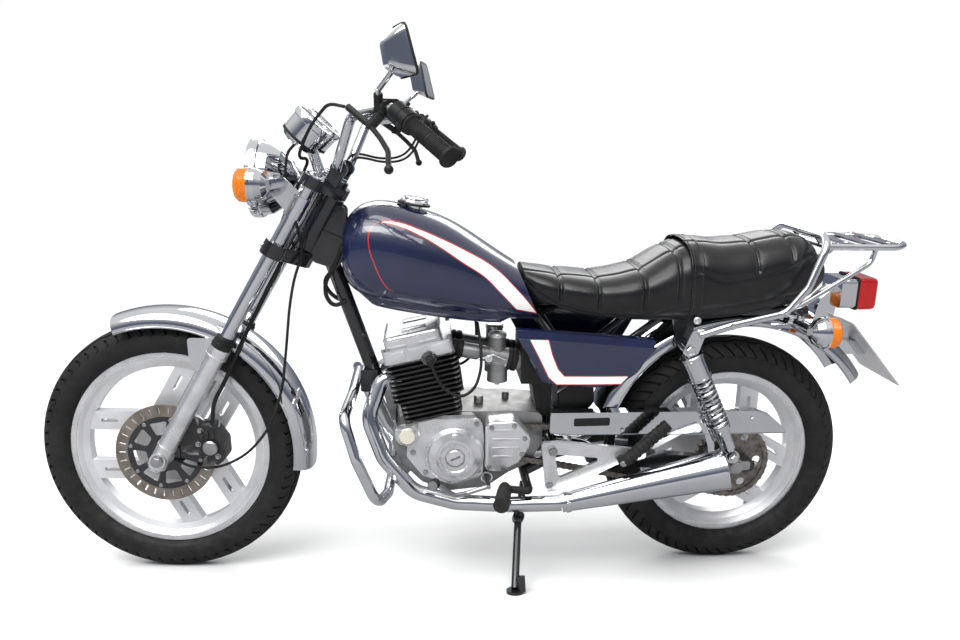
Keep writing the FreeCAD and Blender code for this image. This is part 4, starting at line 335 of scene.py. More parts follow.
materials = {
    "chrome": shaded("chrome", (0.74, 0.75, 0.77), (0.66, 0.67, 0.69), (0.04, 0.10), scale=9.0,
                     grain=(1400.0, 0.1, 0.00001), dust=0.1, Metallic=1.0),
    "polished_alloy": shaded("polished_alloy", (0.78, 0.78, 0.79), (0.64, 0.64, 0.64), (0.18, 0.34),
                             scale=22.0, grain=(1800.0, 0.3, 0.00002), dust=0.05, Metallic=0.8),
    "engine_alloy": shaded("engine_alloy", (0.38, 0.38, 0.38), (0.26, 0.26, 0.255), (0.34, 0.52),
                           scale=26.0, grain=(1100.0, 0.8, 0.00008), dust=0.25, Metallic=0.85),
    "wheel_alloy": shaded("wheel_alloy", (0.74, 0.74, 0.75), (0.66, 0.66, 0.67), (0.3, 0.44), scale=20.0,
                          grain=(1200.0, 0.5, 0.00005), dust=0.05, Metallic=0.55),
    "brake_steel": shaded("brake_steel", (0.34, 0.30, 0.26), (0.22, 0.19, 0.165), (0.3, 0.48),
                          scale=34.0, grain=(1500.0, 0.5, 0.00004), dust=0.1, Metallic=0.9),
    "steel": shaded("steel", (0.52, 0.52, 0.53), (0.40, 0.40, 0.40), (0.22, 0.38), scale=30.0,
                    grain=(1500.0, 0.4, 0.00003), dust=0.25, Metallic=1.0),
    "chain_steel": shaded("chain_steel", (0.26, 0.24, 0.22), (0.12, 0.11, 0.10), (0.28, 0.5), scale=60.0,
                          grain=(900.0, 0.6, 0.00006), dust=0.35, Metallic=0.9),
    "frame_black": shaded("frame_black", (0.008, 0.008, 0.009), (0.014, 0.014, 0.015), (0.12, 0.24),
                          scale=14.0, Coat_Weight=0.5),
    "fin_black": shaded("fin_black", (0.008, 0.008, 0.0085), (0.018, 0.0175, 0.017), (0.35, 0.55),
                        scale=30.0, grain=(1300.0, 0.9, 0.00008), dust=0.1, wear=((0.5, 0.5, 0.5), 0.4)),
    "black_plastic": shaded("black_plastic", (0.006, 0.006, 0.006), (0.011, 0.011, 0.011), (0.36, 0.52),
                            scale=25.0, grain=(1600.0, 0.7, 0.00006), dust=0.04, Specular_IOR_Level=0.35),
    "rubber": shaded("rubber", (0.008, 0.008, 0.008), (0.015, 0.0145, 0.014), (0.55, 0.75), scale=35.0,
                     grain=(1200.0, 0.8, 0.00008), dust=0.06, Specular_IOR_Level=0.3),
    "tyre": shaded("tyre", (0.007, 0.007, 0.0075), (0.012, 0.0118, 0.0115), (0.55, 0.75), scale=16.0,
                   grain=(1000.0, 0.9, 0.0001), dust=0.07, Specular_IOR_Level=0.3),
    "seat_vinyl": vinyl_material(),
    "red_lens": glass_material("red_lens", (0.62, 0.012, 0.01), 0.08, 0.35),
    "amber_lens": glass_material("amber_lens", (0.95, 0.26, 0.01), 0.08, 0.35),
    "lamp_glass": glass_material("lamp_glass", (0.95, 0.97, 0.98), 0.02, 0.95, 1.45),
    "mirror_glass": shaded("mirror_glass", (0.80, 0.82, 0.84), (0.76, 0.78, 0.80), (0.01, 0.03),
                           Metallic=1.0),
    "plate_steel": shaded("plate_steel", (0.62, 0.62, 0.63), (0.5, 0.5, 0.5), (0.25, 0.4), dust=0.3,
                          Metallic=0.7),
    "gauge_black": shaded("gauge_black", (0.01, 0.01, 0.011), (0.014, 0.014, 0.015), (0.3, 0.4)),
    "navy_paint": navy_material("navy_paint"),
    "white_paint": shaded("white_paint", (0.80, 0.80, 0.78), (0.74, 0.74, 0.72), (0.22, 0.3),
                          Coat_Weight=1.0),
    "red_paint": shaded("red_paint", (0.45, 0.015, 0.012), (0.38, 0.012, 0.01), (0.22, 0.3),
                        Coat_Weight=1.0),
    "cream_paint": shaded("cream_paint", (0.62, 0.60, 0.50), (0.55, 0.53, 0.44), (0.35, 0.5), dust=0.2),
    "thread": shaded("thread", (0.03, 0.03, 0.031), (0.05, 0.05, 0.05), (0.5, 0.7),
                     grain=(3000.0, 0.9, 0.00005)),
}

for row in frame["record"]["subparts"]:
    slots = frame["nodes"][row["node"]].data.materials
    slots.clear()
    slots.append(materials[row["material_slot"]])

# Floor and light


def make_floor():
    """Pale floor, which bright metal mirrors in a darker tone."""
    reach = 14.0
    floor = bpy.data.meshes.new("floor")
    floor.from_pydata([(-reach, -reach, 0), (reach, -reach, 0), (reach, reach, 0), (-reach, reach, 0)], [],
                      [(0, 1, 2, 3)])
    ground = bpy.data.objects.new("floor", floor)
    bpy.context.scene.collection.objects.link(ground)
    paving = shaded("pale_floor", (0.86, 0.86, 0.855), (0.83, 0.83, 0.825), (0.7, 0.85), scale=1.5)
    floor.materials.append(paving)
    tree = paving.node_tree
    colour = tree.nodes["Principled BSDF"].inputs["Base Color"]
    pale = colour.links[0].from_socket
    glossy = node(tree, "ShaderNodeLightPath").outputs["Is Glossy Ray"]
    put(tree, mixed(tree, glossy, pale, (0.30, 0.30, 0.31, 1)), colour)


def make_sky():
    """Sky that is white to the camera and grey-blue low down in reflections."""
    world = bpy.data.worlds.new("sky")
    bpy.context.scene.world = world
    world.use_nodes = True
    tree = world.node_tree
    height = split_axes(tree, node(tree, "ShaderNodeTexCoord").outputs["Generated"])[2]
    rise = maths(tree, "POWER", between(tree, height, 0.10, 0.62), 1.3)
    sky = mixed(tree, rise, (0.16, 0.18, 0.24, 1), (1.0, 1.0, 1.0, 1))
    to_camera = node(tree, "ShaderNodeLightPath").outputs["Is Camera Ray"]
    backdrop = tree.nodes["Background"].inputs
    put(tree, mixed(tree, to_camera, sky, (1.2, 1.2, 1.2, 1)), backdrop["Color"])
    put(tree, 0.85, backdrop["Strength"])


def make_lights():
    """Soft sun, with a long light on the near side and one behind."""
    sun = bpy.data.lights.new("sun", "SUN")
    sun.energy = 2.3
    sun.angle = math.radians(50.0)
    lights = [(sun, (-1.5, -2.6, 5.0))]
    for name, spot, wide, tall, power in (("key", (-1.4, -3.2, 3.6), 5.0, 1.2, 110.0),
                                          ("back", (0.4, 3.4, 3.2), 4.0, 1.6, 70.0)):
        data = bpy.data.lights.new(name, "AREA")
        data.shape = "RECTANGLE"
        data.size = wide
        data.size_y = tall
        data.energy = power
        lights.append((data, spot))
    for data, spot in lights:
        lamp = bpy.data.objects.new(data.name, data)
        bpy.context.scene.collection.objects.link(lamp)
        lamp.location = spot
        lamp.rotation_euler = (Vector((0, 0, 0.5)) - Vector(spot)).to_track_quat("-Z", "Y").to_euler()


make_floor()
make_sky()
make_lights()

# Making of pieces


class Form:
    """Points and faces of one piece, drawn upright in millimetres."""

    def __init__(self):
        self.points = []
        self.faces = []

    def skin(self, rows, closed=False, capped=False):
        """Faces between rows of points, each row a ring; closed joins the last row to the first."""
        first = len(self.points)
        wide = len(rows[0])
        count = len(rows)
        for row in rows:
            self.points.extend(Vector(point) for point in row)
        for j in range(count if closed else count - 1):
            k = (j + 1) % count
            for i in range(wide):
                n = (i + 1) % wide
                self.faces.append((first + j * wide + i, first + j * wide + n,
                                   first + k * wide + n, first + k * wide + i))
        if capped:
            self.faces.append(tuple(first + i for i in range(wide)))
            self.faces.append(tuple(first + (count - 1) * wide + i for i in reversed(range(wide))))
        return self


def around_circle(steps, start=0.0):
    """Angles of even steps once round."""
    return [start + 2 * math.pi * k / steps for k in range(steps)]


def cross_axes(axis):
    """Axis and two ways across it, each of length one."""
    axis = Vector(axis).normalized()
    across = axis.orthogonal().normalized()
    return axis, across, axis.cross(across)


def ring(centre, across, other, radius, steps):
    """Points of the circle that two ways span."""
    return [centre + (across * math.cos(a) + other * math.sin(a)) * radius for a in around_circle(steps)]


def mirrored(point, side):
    """Point of the right-hand side carried to this side."""
    return Vector((point[0], side * point[1], point[2]))


def side_name(side):
    """Word for a side in the name of its piece."""
    return "left" if side < 0 else "right"


def turned(form, profile, centre, axis=right, steps=48, closed=False):
    """Profile of (radius, along) turned about an axis."""
    axis, across, other = cross_axes(axis)
    rows = [ring(Vector(centre) + axis * along, across, other, max(radius, 0.001), steps)
            for radius, along in profile]
    return form.skin(rows, closed=closed)


def pipe(form, points, radius, sides):
    """Round bar through points."""
    points = [Vector(point) for point in points]
    rows = []
    across = None
    for i, point in enumerate(points):
        way = (points[min(i + 1, len(points) - 1)] - points[max(i - 1, 0)]).normalized()
        across = way.orthogonal() if across is None else across - way * across.dot(way)
        across.normalize()
        rows.append(ring(point, across, way.cross(across), radius, sides))
    return form.skin(rows, capped=True)


def rounded(corners, radius, steps=5):
    """Outline with each corner rounded off."""
    made = []
    for i, corner in enumerate(corners):
        here = Vector(corner)
        back = Vector(corners[i - 1]) - here
        ahead = Vector(corners[(i + 1) % len(corners)]) - here
        start = here + back.normalized() * min(radius, back.length * 0.48)
        end = here + ahead.normalized() * min(radius, ahead.length * 0.48)
        for k in range(steps + 1):
            t = k / steps
            made.append(start * (1 - t) ** 2 + here * 2 * t * (1 - t) + end * t * t)
    return made


def inset(outline, amount):
    """Outline moved inwards by this much."""
    area = sum(outline[i - 1][0] * p[1] - p[0] * outline[i - 1][1] for i, p in enumerate(outline))
    turn = 1 if area > 0 else -1
    made = []
    for i, corner in enumerate(outline):
        here = Vector(corner)
        ahead = (Vector(outline[(i + 1) % len(outline)]) - Vector(outline[i - 1])).normalized()
        made.append(here + Vector((-ahead[1], ahead[0])) * amount * turn)
    return made


def divided(outline, step):
    """Outline with points along its runs, no further apart than step."""
    made = []
    for i, corner in enumerate(outline):
        here = Vector(corner)
        run = Vector(outline[(i + 1) % len(outline)]) - here
        parts = max(math.ceil(run.length / step), 1)
        made.extend(here + run * k / parts for k in range(parts))
    return made


def prism(form, outline, y0, y1):
    """Plate with this side-view outline of (x, z) between two planes."""
    return form.skin([[(x, y, z) for x, z in outline] for y in (y0, y1)], capped=True)


def cut_plate(form, loops, centre, y0, y1):
    """Plate of (x, z) loops about a centre, the first loop outside and the others holes."""
    curve = bpy.data.curves.new("outline", "CURVE")
    curve.dimensions = "2D"
    curve.fill_mode = "BOTH"
    curve.extrude = abs(y1 - y0) / 2
    for loop in loops:
        spline = curve.splines.new("POLY")
        spline.points.add(len(loop) - 1)
        for point, (x, z) in zip(spline.points, loop):
            point.co = (x, z, 0, 1)
        spline.use_cyclic_u = True
    holder = bpy.data.objects.new("outline", curve)
    mesh = bpy.data.meshes.new_from_object(holder)
    first = len(form.points)
    middle_y = (y0 + y1) / 2
    form.points += [Vector((centre[0] + vertex.co.x, middle_y - vertex.co.z, centre[2] + vertex.co.y))
                    for vertex in mesh.vertices]
    form.faces += [tuple(first + i for i in polygon.vertices) for polygon in mesh.polygons]
    bpy.data.objects.remove(holder)
    bpy.data.curves.remove(curve)
    bpy.data.meshes.remove(mesh)
    return form


def circle(radius, steps):
    """Outline of a circle about the origin."""
    return [(radius * math.cos(a), radius * math.sin(a)) for a in around_circle(steps)]


def bolt(form, centre, axis, radius, height, socket=False):
    """Hexagon head on a washer, or a round socket head, pointing along axis."""
    axis, across, other = cross_axes(axis)
    centre = Vector(centre)
    washer = radius * 1.25
    turned(form, [(0, 0), (washer, 0), (washer, height * 0.18), (0, height * 0.18)], centre, axis, 24)
    if socket:
        hole = radius * 0.5
        turned(form, [(radius, 0), (radius, height * 0.85), (radius * 0.88, height), (hole, height),
                      (hole, height * 0.5), (0, height * 0.5)], centre, axis, 24)
        return
    rows = [ring(centre + axis * height * along, across, other, size, 6)
            for size, along in ((radius, 0.15), (radius, 0.85), (radius * 0.88, 1.0))]
    form.skin(rows, capped=True)


def piece(name, form, finish, body="frame", replaces=(), bevel=0.0, sharp=35.0):
    """Turns a form into an object that rides on its body."""
    mesh = bpy.data.meshes.new(name)
    net = bmesh.new()
    place = row_of[body]
    corners = [net.verts.new(place @ point) for point in form.points]
    for face in form.faces:
        net.faces.new([corners[i] for i in face])
    bmesh.ops.remove_doubles(net, verts=net.verts, dist=0.00002)
    bmesh.ops.dissolve_degenerate(net, edges=net.edges, dist=0.00001)
    bmesh.ops.recalc_face_normals(net, faces=net.faces)
    limit = math.radians(sharp)
    if bevel:
        edges = [edge for edge in net.edges if len(edge.link_faces) == 2 and edge.calc_face_angle(0) > limit]
        bmesh.ops.bevel(net, geom=edges, offset=bevel * 0.001, segments=2, profile=0.6, affect="EDGES")
    for edge in net.edges:
        edge.smooth = len(edge.link_faces) == 2 and edge.calc_face_angle(0) < limit
    for face in net.faces:
        face.smooth = True
    net.to_mesh(mesh)
    net.free()
    mesh.materials.append(materials[finish])
    made = bpy.data.objects.new(name, mesh)
    bpy.context.scene.collection.objects.link(made)
    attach(made, body)
    if replaces:
        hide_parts(*replaces)
    return made


# Tyres


def arc_through(start, middle, end, steps):
    """Points of the circle through three points of a plane."""
    a, b, c = Vector(start), Vector(middle), Vector(end)
    ab, ac = b - a, c - a
    scale = 2 * (ab[0] * ac[1] - ab[1] * ac[0])
    ux = (ac[1] * ab.dot(ab) - ab[1] * ac.dot(ac)) / scale
    uy = (ab[0] * ac.dot(ac) - ac[0] * ab.dot(ab)) / scale
    centre = a + Vector((ux, uy))
    first = math.atan2(a[1] - centre[1], a[0] - centre[0])
    last = math.atan2(c[1] - centre[1], c[0] - centre[0])
    turn = (last - first + math.pi) % (2 * math.pi) - math.pi
    reach = (a - centre).length
    return [centre + Vector((math.cos(first + turn * k / steps), math.sin(first + turn * k / steps))) * reach
            for k in range(steps + 1)]


def tread_columns(grooves, groove_half, cut_from, cut_to, last):
    """Arc lengths across half the tread, each with its groove depth share and its share of the cross cuts."""
    columns = []
    for groove in grooves:
        for offset, share in ((-groove_half - 0.5, 0), (-groove_half + 0.5, 1), (groove_half - 0.5, 1),
                              (groove_half + 0.5, 0)):
            columns.append((groove + offset, share, 0))
    columns += [(cut_from - 0.5, 0, 0), (cut_from + 0.5, 0, 1), ((cut_from + cut_to) / 2, 0, 1),
                (cut_to - 4, 0, 0.9), (cut_to, 0, 0)]
    columns += [(cut_to + (last - cut_to) * k / 3, 0, 0) for k in (1, 2, 3)]
    return sorted(column for column in columns if column[0] > 0.2)


def tyre(centre, radius, half_width, rim_radius, rim_half_width, grooves, wave, cut_from, blocks, slant,
         depth=5.0):
    """Tyre with ribs between wavy grooves and shoulder blocks between cross cuts."""
    bead = rim_half_width - 3.3
    widest = radius - half_width
    shoulder = rim_radius + 1.0
    wall = (half_width - 0.22 * (half_width - bead), (widest + shoulder) / 2 - 3.0)
    last = half_width * math.pi / 2
    half = tread_columns(grooves, 2.2, cut_from, last - 16.0, last)
    columns = [(-a, g, c) for a, g, c in reversed(half)] + half
    side_wall = []
    for y, r in arc_through((half_width, widest), wall, (bead, shoulder), 12)[1:]:
        raised_band = 0.30 < (r - shoulder) / (widest - shoulder) < 0.42
        side_wall.append((r, y + 0.9 if raised_band else y))
    side_wall.append((rim_radius - 11.0, bead))
    rows = []
    for block in range(blocks):
        for share in (0.0, 0.05, 0.20, 0.25, 0.4, 0.55, 0.7, 0.85):
            in_cut = 1 if share in (0.05, 0.20) else 0
            turn = 2 * math.pi * ((block + share) / blocks)
            sway = wave * math.sin(turn * blocks / 2)
            row = []
            for arc, groove, cut in columns:
                fade = min(max((cut_from - abs(arc)) / 6.0, 0.0), 1.0)
                angle = (arc + sway * fade) / half_width
                reach = half_width - depth * max(groove, cut * in_cut)
                ahead = slant * (abs(arc) - cut_from) / radius if cut else 0
                row.append((widest + reach * math.cos(angle), reach * math.sin(angle), turn + ahead))
            row += [(r, y, turn) for r, y in side_wall]
            row += [(r, -y, turn) for r, y in reversed(side_wall)]
            rows.append([(centre[0] + r * math.sin(a), y, centre[2] + r * math.cos(a)) for r, y, a in row])
    return Form().skin(rows, closed=True)


piece("front_tread", tyre(front_axle, front_tyre_radius, front_tyre_half_width, front_rim_radius,
                          front_rim_half_width, (9.0, 24.0), 2.6, 36.0, 64, 0.55),
      "tyre", "front_wheel", ("front_tyre",))
piece("rear_tread", tyre(rear_axle, rear_tyre_radius, rear_tyre_half_width, rear_rim_radius,
                         rear_rim_half_width, (10.0, 27.0), 3.2, 38.0, 58, 0.8, 6.0),
      "tyre", "rear_wheel", ("rear_tyre",))

# Wheel details


def rim_lip(name, centre, rim_radius, half_width, body):
    """Machined bright lip on both edges of a rim."""
    form = Form()
    for side in both_sides:
        turned(form, [(rim_radius - 13.5, half_width - 0.9), (rim_radius - 12.5, half_width + 0.3),
                      (rim_radius - 1.5, half_width + 0.8), (rim_radius + 0.6, half_width + 0.2),
                      (rim_radius + 0.4, half_width - 1.2)], centre, right * side, 128, closed=True)
    piece(name, form, "polished_alloy", body)


def hub_details(name, centre, left, far, hub_radius, body):
    """Raised hub ring and web rings of a cast wheel."""
    form = Form()
    for y, side in ((left, -1), (far, 1)):
        turned(form, [(hub_radius - 14, -2), (hub_radius - 12, 1.5), (hub_radius - 5, 1.5),
                      (hub_radius - 3, -2)], centre + right * y, right * side, 64, closed=True)
    for side in both_sides:
        turned(form, [(84, 11), (86, 14), (91, 14), (93, 11)], centre, right * side, 96, closed=True)
    piece(name, form, "wheel_alloy", body)


rim_lip("front_rim_lip", front_axle, front_rim_radius, front_rim_half_width, "front_wheel")
rim_lip("rear_rim_lip", rear_axle, rear_rim_radius, rear_rim_half_width, "rear_wheel")
hub_details("front_hub_rings", front_axle, -50.0, 49.5, 44.0, "front_wheel")
hub_details("rear_hub_rings", rear_axle, -74.0, 69.5, 62.0, "rear_wheel")


def valve_stem(name, centre, rim_radius, degrees, body):
    """Rubber valve that stands on the rim at this turn of the wheel."""
    a = math.radians(degrees)
    way = Vector((-math.sin(a), 0, -math.cos(a)))
    foot = Vector(centre) - way * (rim_radius - 37.0)
    profile = [(0, -2), (6, -2), (5, 5), (4, 22), (4.6, 23), (4.6, 34), (3.5, 36), (0, 36)]
    piece(name, turned(Form(), profile, foot, way, 16), "rubber", body)


valve_stem("front_valve", front_axle, front_rim_radius, 128.0, "front_wheel")
valve_stem("rear_valve", rear_axle, rear_rim_radius, 215.0, "rear_wheel")


def disc_brake():
    """Steel brake ring with its row of slots, on a black windowed carrier."""
    disc_y = -57.0
    slots = [circle(121.0, 128), circle(92.0, 128)]
    for a in around_circle(30):
        slots.append([(math.cos(a) * r + math.sin(a) * t, math.sin(a) * r - math.cos(a) * t)
                      for r, t in ((98, -2), (113, -2), (115, 0), (113, 2), (98, 2), (96, 0))])
    piece("brake_ring", cut_plate(Form(), slots, front_axle, disc_y - 2.5, disc_y + 2.5), "brake_steel",
          "front_wheel", ("brake_disc",), sharp=30)
    carrier = [circle(93.0, 96), circle(15.0, 32)]
    window = rounded([(46, -13), (78, -22), (78, 22), (46, 13)], 7)
    for a in around_circle(8, 0.2):
        carrier.append([(p[0] * math.cos(a) - p[1] * math.sin(a), p[0] * math.sin(a) + p[1] * math.cos(a))
                        for p in window])
    form = cut_plate(Form(), carrier, front_axle, disc_y - 2.0, disc_y + 2.0)
    turned(form, [(24, -2), (36, -2), (36, -6), (26, -8), (24, -8)], front_axle + right * disc_y, right, 48,
           closed=True)
    piece("disc_carrier", form, "frame_black", "front_wheel", sharp=30)
    form = Form()
    for a in around_circle(8, 0.2 + math.pi / 8):
        turned(form, [(0, 0), (5, 0), (5, 2), (3.5, 3), (0, 3)],
               front_axle + Vector((85 * math.cos(a), disc_y - 2, 85 * math.sin(a))), -right, 16)
    piece("disc_bolts", form, "steel", "front_wheel")


disc_brake()

# Seat

# Rows of the seat: x, half width, widest level, top, bottom and fullness
seat_rows = [(-538, 74, 752, 784, 716, 2.6), (-500, 98, 738, 778, 690, 2.8),
             (-440, 112, 724, 771, 664, 2.8), (-340, 124, 716, 767, 654, 2.8),
             (-250, 131, 722, 790, 650, 2.8), (-180, 134, 736, 832, 649, 2.8),
             (-121, 136, 744, 852, 650, 2.8), (-60, 136, 748, 849, 654, 2.8),
             (20, 135, 756, 858, 668, 2.8), (100, 130, 768, 871, 690, 2.7),
             (150, 118, 776, 858, 708, 2.5), (182, 92, 780, 822, 730, 2.3)]
seam_line = [(-540, 768), (-500, 734), (-450, 706), (-395, 690), (-320, 683), (-244, 686), (-190, 706),
             (-162, 732), (-140, 768), (-122, 792), (-100, 778), (-76, 770), (4, 783), (76, 806),
             (126, 832), (190, 838)]
front_pleats = (-450.0, -361.0, -256.0, -177.0)
rear_pleats = (6.0, 90.0)
strap_gap_x = -137.0
long_seam_y = 52.0
seat_base_z = 703.0
seat_base_half_width = 101.0
tank_back_x = -556
tank_back_z = 800
tank_back_slope = 0.4435


def follow(line, x):
    """Height of a broken line at x."""
    for (x0, z0), (x1, z1) in zip(line, line[1:]):
        if x <= x1:
            t = min(max((x - x0) / (x1 - x0), 0.0), 1.0)
            return z0 + (z1 - z0) * t
    return line[-1][1]


def seat_row(x):
    """Sizes of the seat at x, by a smooth curve through its rows."""
    count = len(seat_rows)
    i = 0
    while i < count - 2 and x > seat_rows[i + 1][0]:
        i += 1
    before, here, ahead, after = (seat_rows[max(i - 1, 0)], seat_rows[i], seat_rows[i + 1],
                                  seat_rows[min(i + 2, count - 1)])
    span = ahead[0] - here[0]
    t = (x - here[0]) / span
    values = []
    for k in range(1, 6):
        slope_here = (ahead[k] - before[k]) / (ahead[0] - before[0]) * span
        slope_ahead = (after[k] - here[k]) / (after[0] - here[0]) * span
        values.append(here[k] * (1 + 2 * t) * (1 - t) ** 2 + slope_here * t * (1 - t) ** 2
                      + ahead[k] * t * t * (3 - 2 * t) + slope_ahead * t * t * (t - 1))
    return values


def dip(value, middle, width):
    """Depth of a soft groove at this distance from its middle, one at its deepest."""
    return math.exp(-((value - middle) / width) ** 2)


def seat_point(x, angle, lift=0.0):
    """Point of the padded seat surface; angle runs round its section from the right."""
    half_width, widest, top, bottom, fullness = seat_row(x)
    c, s = math.cos(angle), math.sin(angle)
    y = half_width * math.copysign(abs(c) ** (2 / fullness), c)
    z = widest + (top - widest if s > 0 else widest - bottom) * math.copysign(abs(s) ** (2 / fullness), s)
    seam = follow(seam_line, x)
    above = min(max((z - seam) / 10.0, 0.0), 1.0)
    push = -3.0 * (1 - above)
    push += 1.6 * dip(z, seam + 1.0, 2.6) - 2.6 * dip(z, seam - 4.0, 2.4)
    crown = 0.0
    for pleat in front_pleats + rear_pleats:
        crown -= 5.0 * dip(x, pleat, 4.0)
        crown -= 2.4 * dip(x, pleat, 15.0)
    crown -= 9.0 * dip(x, strap_gap_x, 9.0)
    if s > 0:
        crown -= 2.6 * dip(abs(y), long_seam_y, 3.2) + 1.2 * dip(abs(y), long_seam_y, 10.0)
    push += crown * above + lift
    out = Vector((0.0, c * abs(c) ** 0.2, s * abs(s) ** 0.2))
    out.normalize()
    return Vector((x, y, z)) + out * push


def seat_stations():
    """Places along the seat, closer together at pleats."""
    places = []
    x = -534.0
    while x < 181.0:
        places.append(x)
        near = min(abs(x - pleat) for pleat in front_pleats + rear_pleats + (strap_gap_x,))
        x += 2.0 if near < 14.0 else 5.0
    return places + [181.5]


def make_seat():
    """Padded seat, with a flat base and its nose cut along the back of the tank."""
    stations = seat_stations()
    rows = []
    for x in stations:
        row = [seat_point(x, angle) for angle in around_circle(220)]
        for point in row:
            if x < -300:
                nose_x = tank_back_x + (tank_back_z - point.z) * tank_back_slope + 1.0
                point.x = max(point.x, nose_x)
            if point.z < seat_base_z and abs(point.y) < seat_base_half_width:
                point.z = seat_base_z
        rows.append(row)
    middle = Vector((0, 0, 776))
    smaller = [middle + (point - middle) * 0.97 for point in rows[-1]]
    rows.append([Vector((stations[-1] + 2.0, point.y, point.z)) for point in smaller])
    made = piece("seat_padding", Form().skin(rows, capped=True), "seat_vinyl", replaces=("seat",), sharp=80)


make_seat()


def stitch(form, place, along, out, length=4.2):
    """One raised stitch: a short pointed bead lying along a seam."""
    along = along.normalized()
    across = along.cross(out).normalized()
    out = across.cross(along)
    rows = [ring(place + along * share * length, across, out, size, 6)
            for share, size in ((-0.5, 0.25), (-0.25, 0.75), (0.25, 0.75), (0.5, 0.25))]
    form.skin(rows, capped=True)


def seat_stitches():
    """Two rows of stitches along every pleat, down to the long seam."""
    form = Form()
    for pleat in front_pleats + rear_pleats:
        for x in (pleat - 7.0, pleat + 7.0):
            seam = follow(seam_line, x)
            last = None
            for k in range(901):
                a = k * math.pi / 900
                point = seat_point(x, a, 0.35)
                if point.z < seam + 8.0:
                    last = None
                elif last is None or (point - last).length >= 6.4:
                    ahead = seat_point(x, a + 0.01, 0.35)
                    stitch(form, point, ahead - point, Vector((0, math.cos(a), math.sin(a))))
                    last = point
    piece("seat_stitches", form, "thread", sharp=60)


seat_stitches()


def strap():
    """Flat grab strap across the step of the seat, with stitched edges."""
    section = [(-15, 1.2), (-15, 3.4), (-12.5, 4.0), (-11.5, 3.5), (0, 3.9), (11.5, 3.5), (12.5, 4.0),
               (15, 3.4), (15, 1.2)]
    rows = []
    for k in range(121):
        a = -0.62 + (math.pi + 1.24) * k / 120
        base = seat_point(-121.0, a)
        if base.z < 700:
            continue
        out = Vector((0, math.cos(a), math.sin(a)))
        middle_x = -135.0 - (base.z - 690.0) * 4.0 / 210.0
        rows.append([Vector((middle_x + offset, base.y, base.z)) + out * (lift - 1.5)
                     for offset, lift in section])
    down = Vector((0.2, 0, -10.0))
    for _ in range(4):
        rows.insert(0, [point + down for point in rows[0]])
        rows.append([point + down for point in rows[-1]])
    piece("seat_strap_band", Form().skin(rows, capped=True), "seat_vinyl", replaces=("seat_strap",), sharp=60)
    form = Form()
    for here, ahead in zip(rows[1:], rows[2:]):
        for side, column in ((-1, 2), (1, 6)):
            middle = (here[4] + here[column]) / 2
            run = (ahead[4] + ahead[column]) / 2 - middle
            out = Vector((0, here[4].y, here[4].z - 760)).normalized()
            stitch(form, middle + out * 0.5 + Vector((side * 3.5, 0, 0)), run, out, 3.0)
    piece("strap_stitches", form, "thread", sharp=60)
    for side in both_sides:
        form = turned(Form(), [(0, 0), (9, 0), (9, 1.5), (7, 3.5), (4, 4.6), (0, 5)],
                      (-134, side * 138.4, 676), right * side, 32)
        piece("strap_bolt_" + side_name(side), form, "polished_alloy")


strap()

# Side covers

cover_outline = [(-559, 650), (-219, 626), (-262, 545), (-300, 520), (-354, 508), (-484, 518), (-500, 540)]
cover_stripe = [(-522, 628), (-480, 627), (-470, 592), (-455, 557), (-439, 539), (-360, 539), (-287, 539),
                (-303, 521), (-380, 520), (-456, 520), (-475, 537), (-499, 585)]


def cover_face(x, z):
    """Distance of the crowned cover face from the middle of the bike."""
    u = (x + 385.0) / 180.0
    v = (z - 580.0) / 80.0
    return 132.5 + 3.0 * max(1 - u * u, 0) * max(1 - v * v, 0)


def make_covers():
    """Crowned side covers with a shelf along the top, and their red-edged white stripes."""
    edge = rounded(cover_outline, 14)
    shelf = [Vector((x, z - (14 if z > 600 else 0))) for x, z in inset(edge, 5)]
    centre = Vector((-392, 585))
    for side in both_sides:
        rows = [[(x, side * 103.0, z) for x, z in edge], [(x, side * 126.0, z) for x, z in edge],
                [(x, side * 128.0, z) for x, z in inset(edge, 1)]]
        for share in (1.0, 0.985, 0.8, 0.6, 0.4, 0.2, 0.05):
            drop = 0.8 if share == 1.0 else 0.0
            rows.append([(x, side * (cover_face(x, z) - drop), z)
                         for x, z in (centre + (p - centre) * share for p in shelf)])
        piece("side_cover_" + side_name(side), Form().skin(rows, capped=True), "navy_paint", sharp=22,
              replaces=("side_covers",))
    for side in both_sides:
        for label, grow, lift, finish in (("border", -2.2, 0.35, "red_paint"),
                                          ("stripe", 0.0, 0.6, "white_paint")):
            outline = divided(inset(cover_stripe, grow), 8.0)
            form = cut_plate(Form(), [outline], (0, 0, 0), side * 100.0, side * 100.0 + 0.01)
            form.points = [Vector((p.x, side * (cover_face(p.x, p.z) + lift), p.z)) for p in form.points]
            piece("cover_" + label + "_" + side_name(side), form, finish)


make_covers()

# Tank finish: stripes, and painted shade along the panel crease

stripe_upper = [(-862, 892), (-833, 892), (-781, 877), (-736, 859), (-683, 834), (-609, 791), (-557, 743),
                (-504, 681)]
stripe_lower = [(-862, 891), (-838, 888), (-775, 864), (-735, 842), (-682, 807), (-628, 771), (-594, 737),
                (-552, 692)]
panel_bow = [(737, -834), (743, -847), (765, -863), (802, -879), (835, -890), (868, -891), (884, -882),
             (892, -862)]
# Line of the painted shade along the lower edge of the tank panel
panel_foot = [(-834, 738), (-714, 719), (-552, 692)]
stripe_end = [(-552, 692), (-504, 681)]


def curve_value(tree, value, line, value_range, result_range):
    """Height of a smooth line through points, as a socket."""
    share = between(tree, value, *value_range)
    made = node(tree, "ShaderNodeFloatCurve")
    curve = made.mapping.curves[0]
    low, high = value_range
    bottom, top = result_range
    marks = [((a - low) / (high - low), (b - bottom) / (top - bottom)) for a, b in line]
    while len(curve.points) < len(marks):
        curve.points.new(0.5, 0.5)
    for point, mark in zip(curve.points, marks):
        point.location = mark
    made.mapping.update()
    put(tree, share, made.inputs["Value"])
    return between(tree, made.outputs[0], 0.0, 1.0, bottom, top)


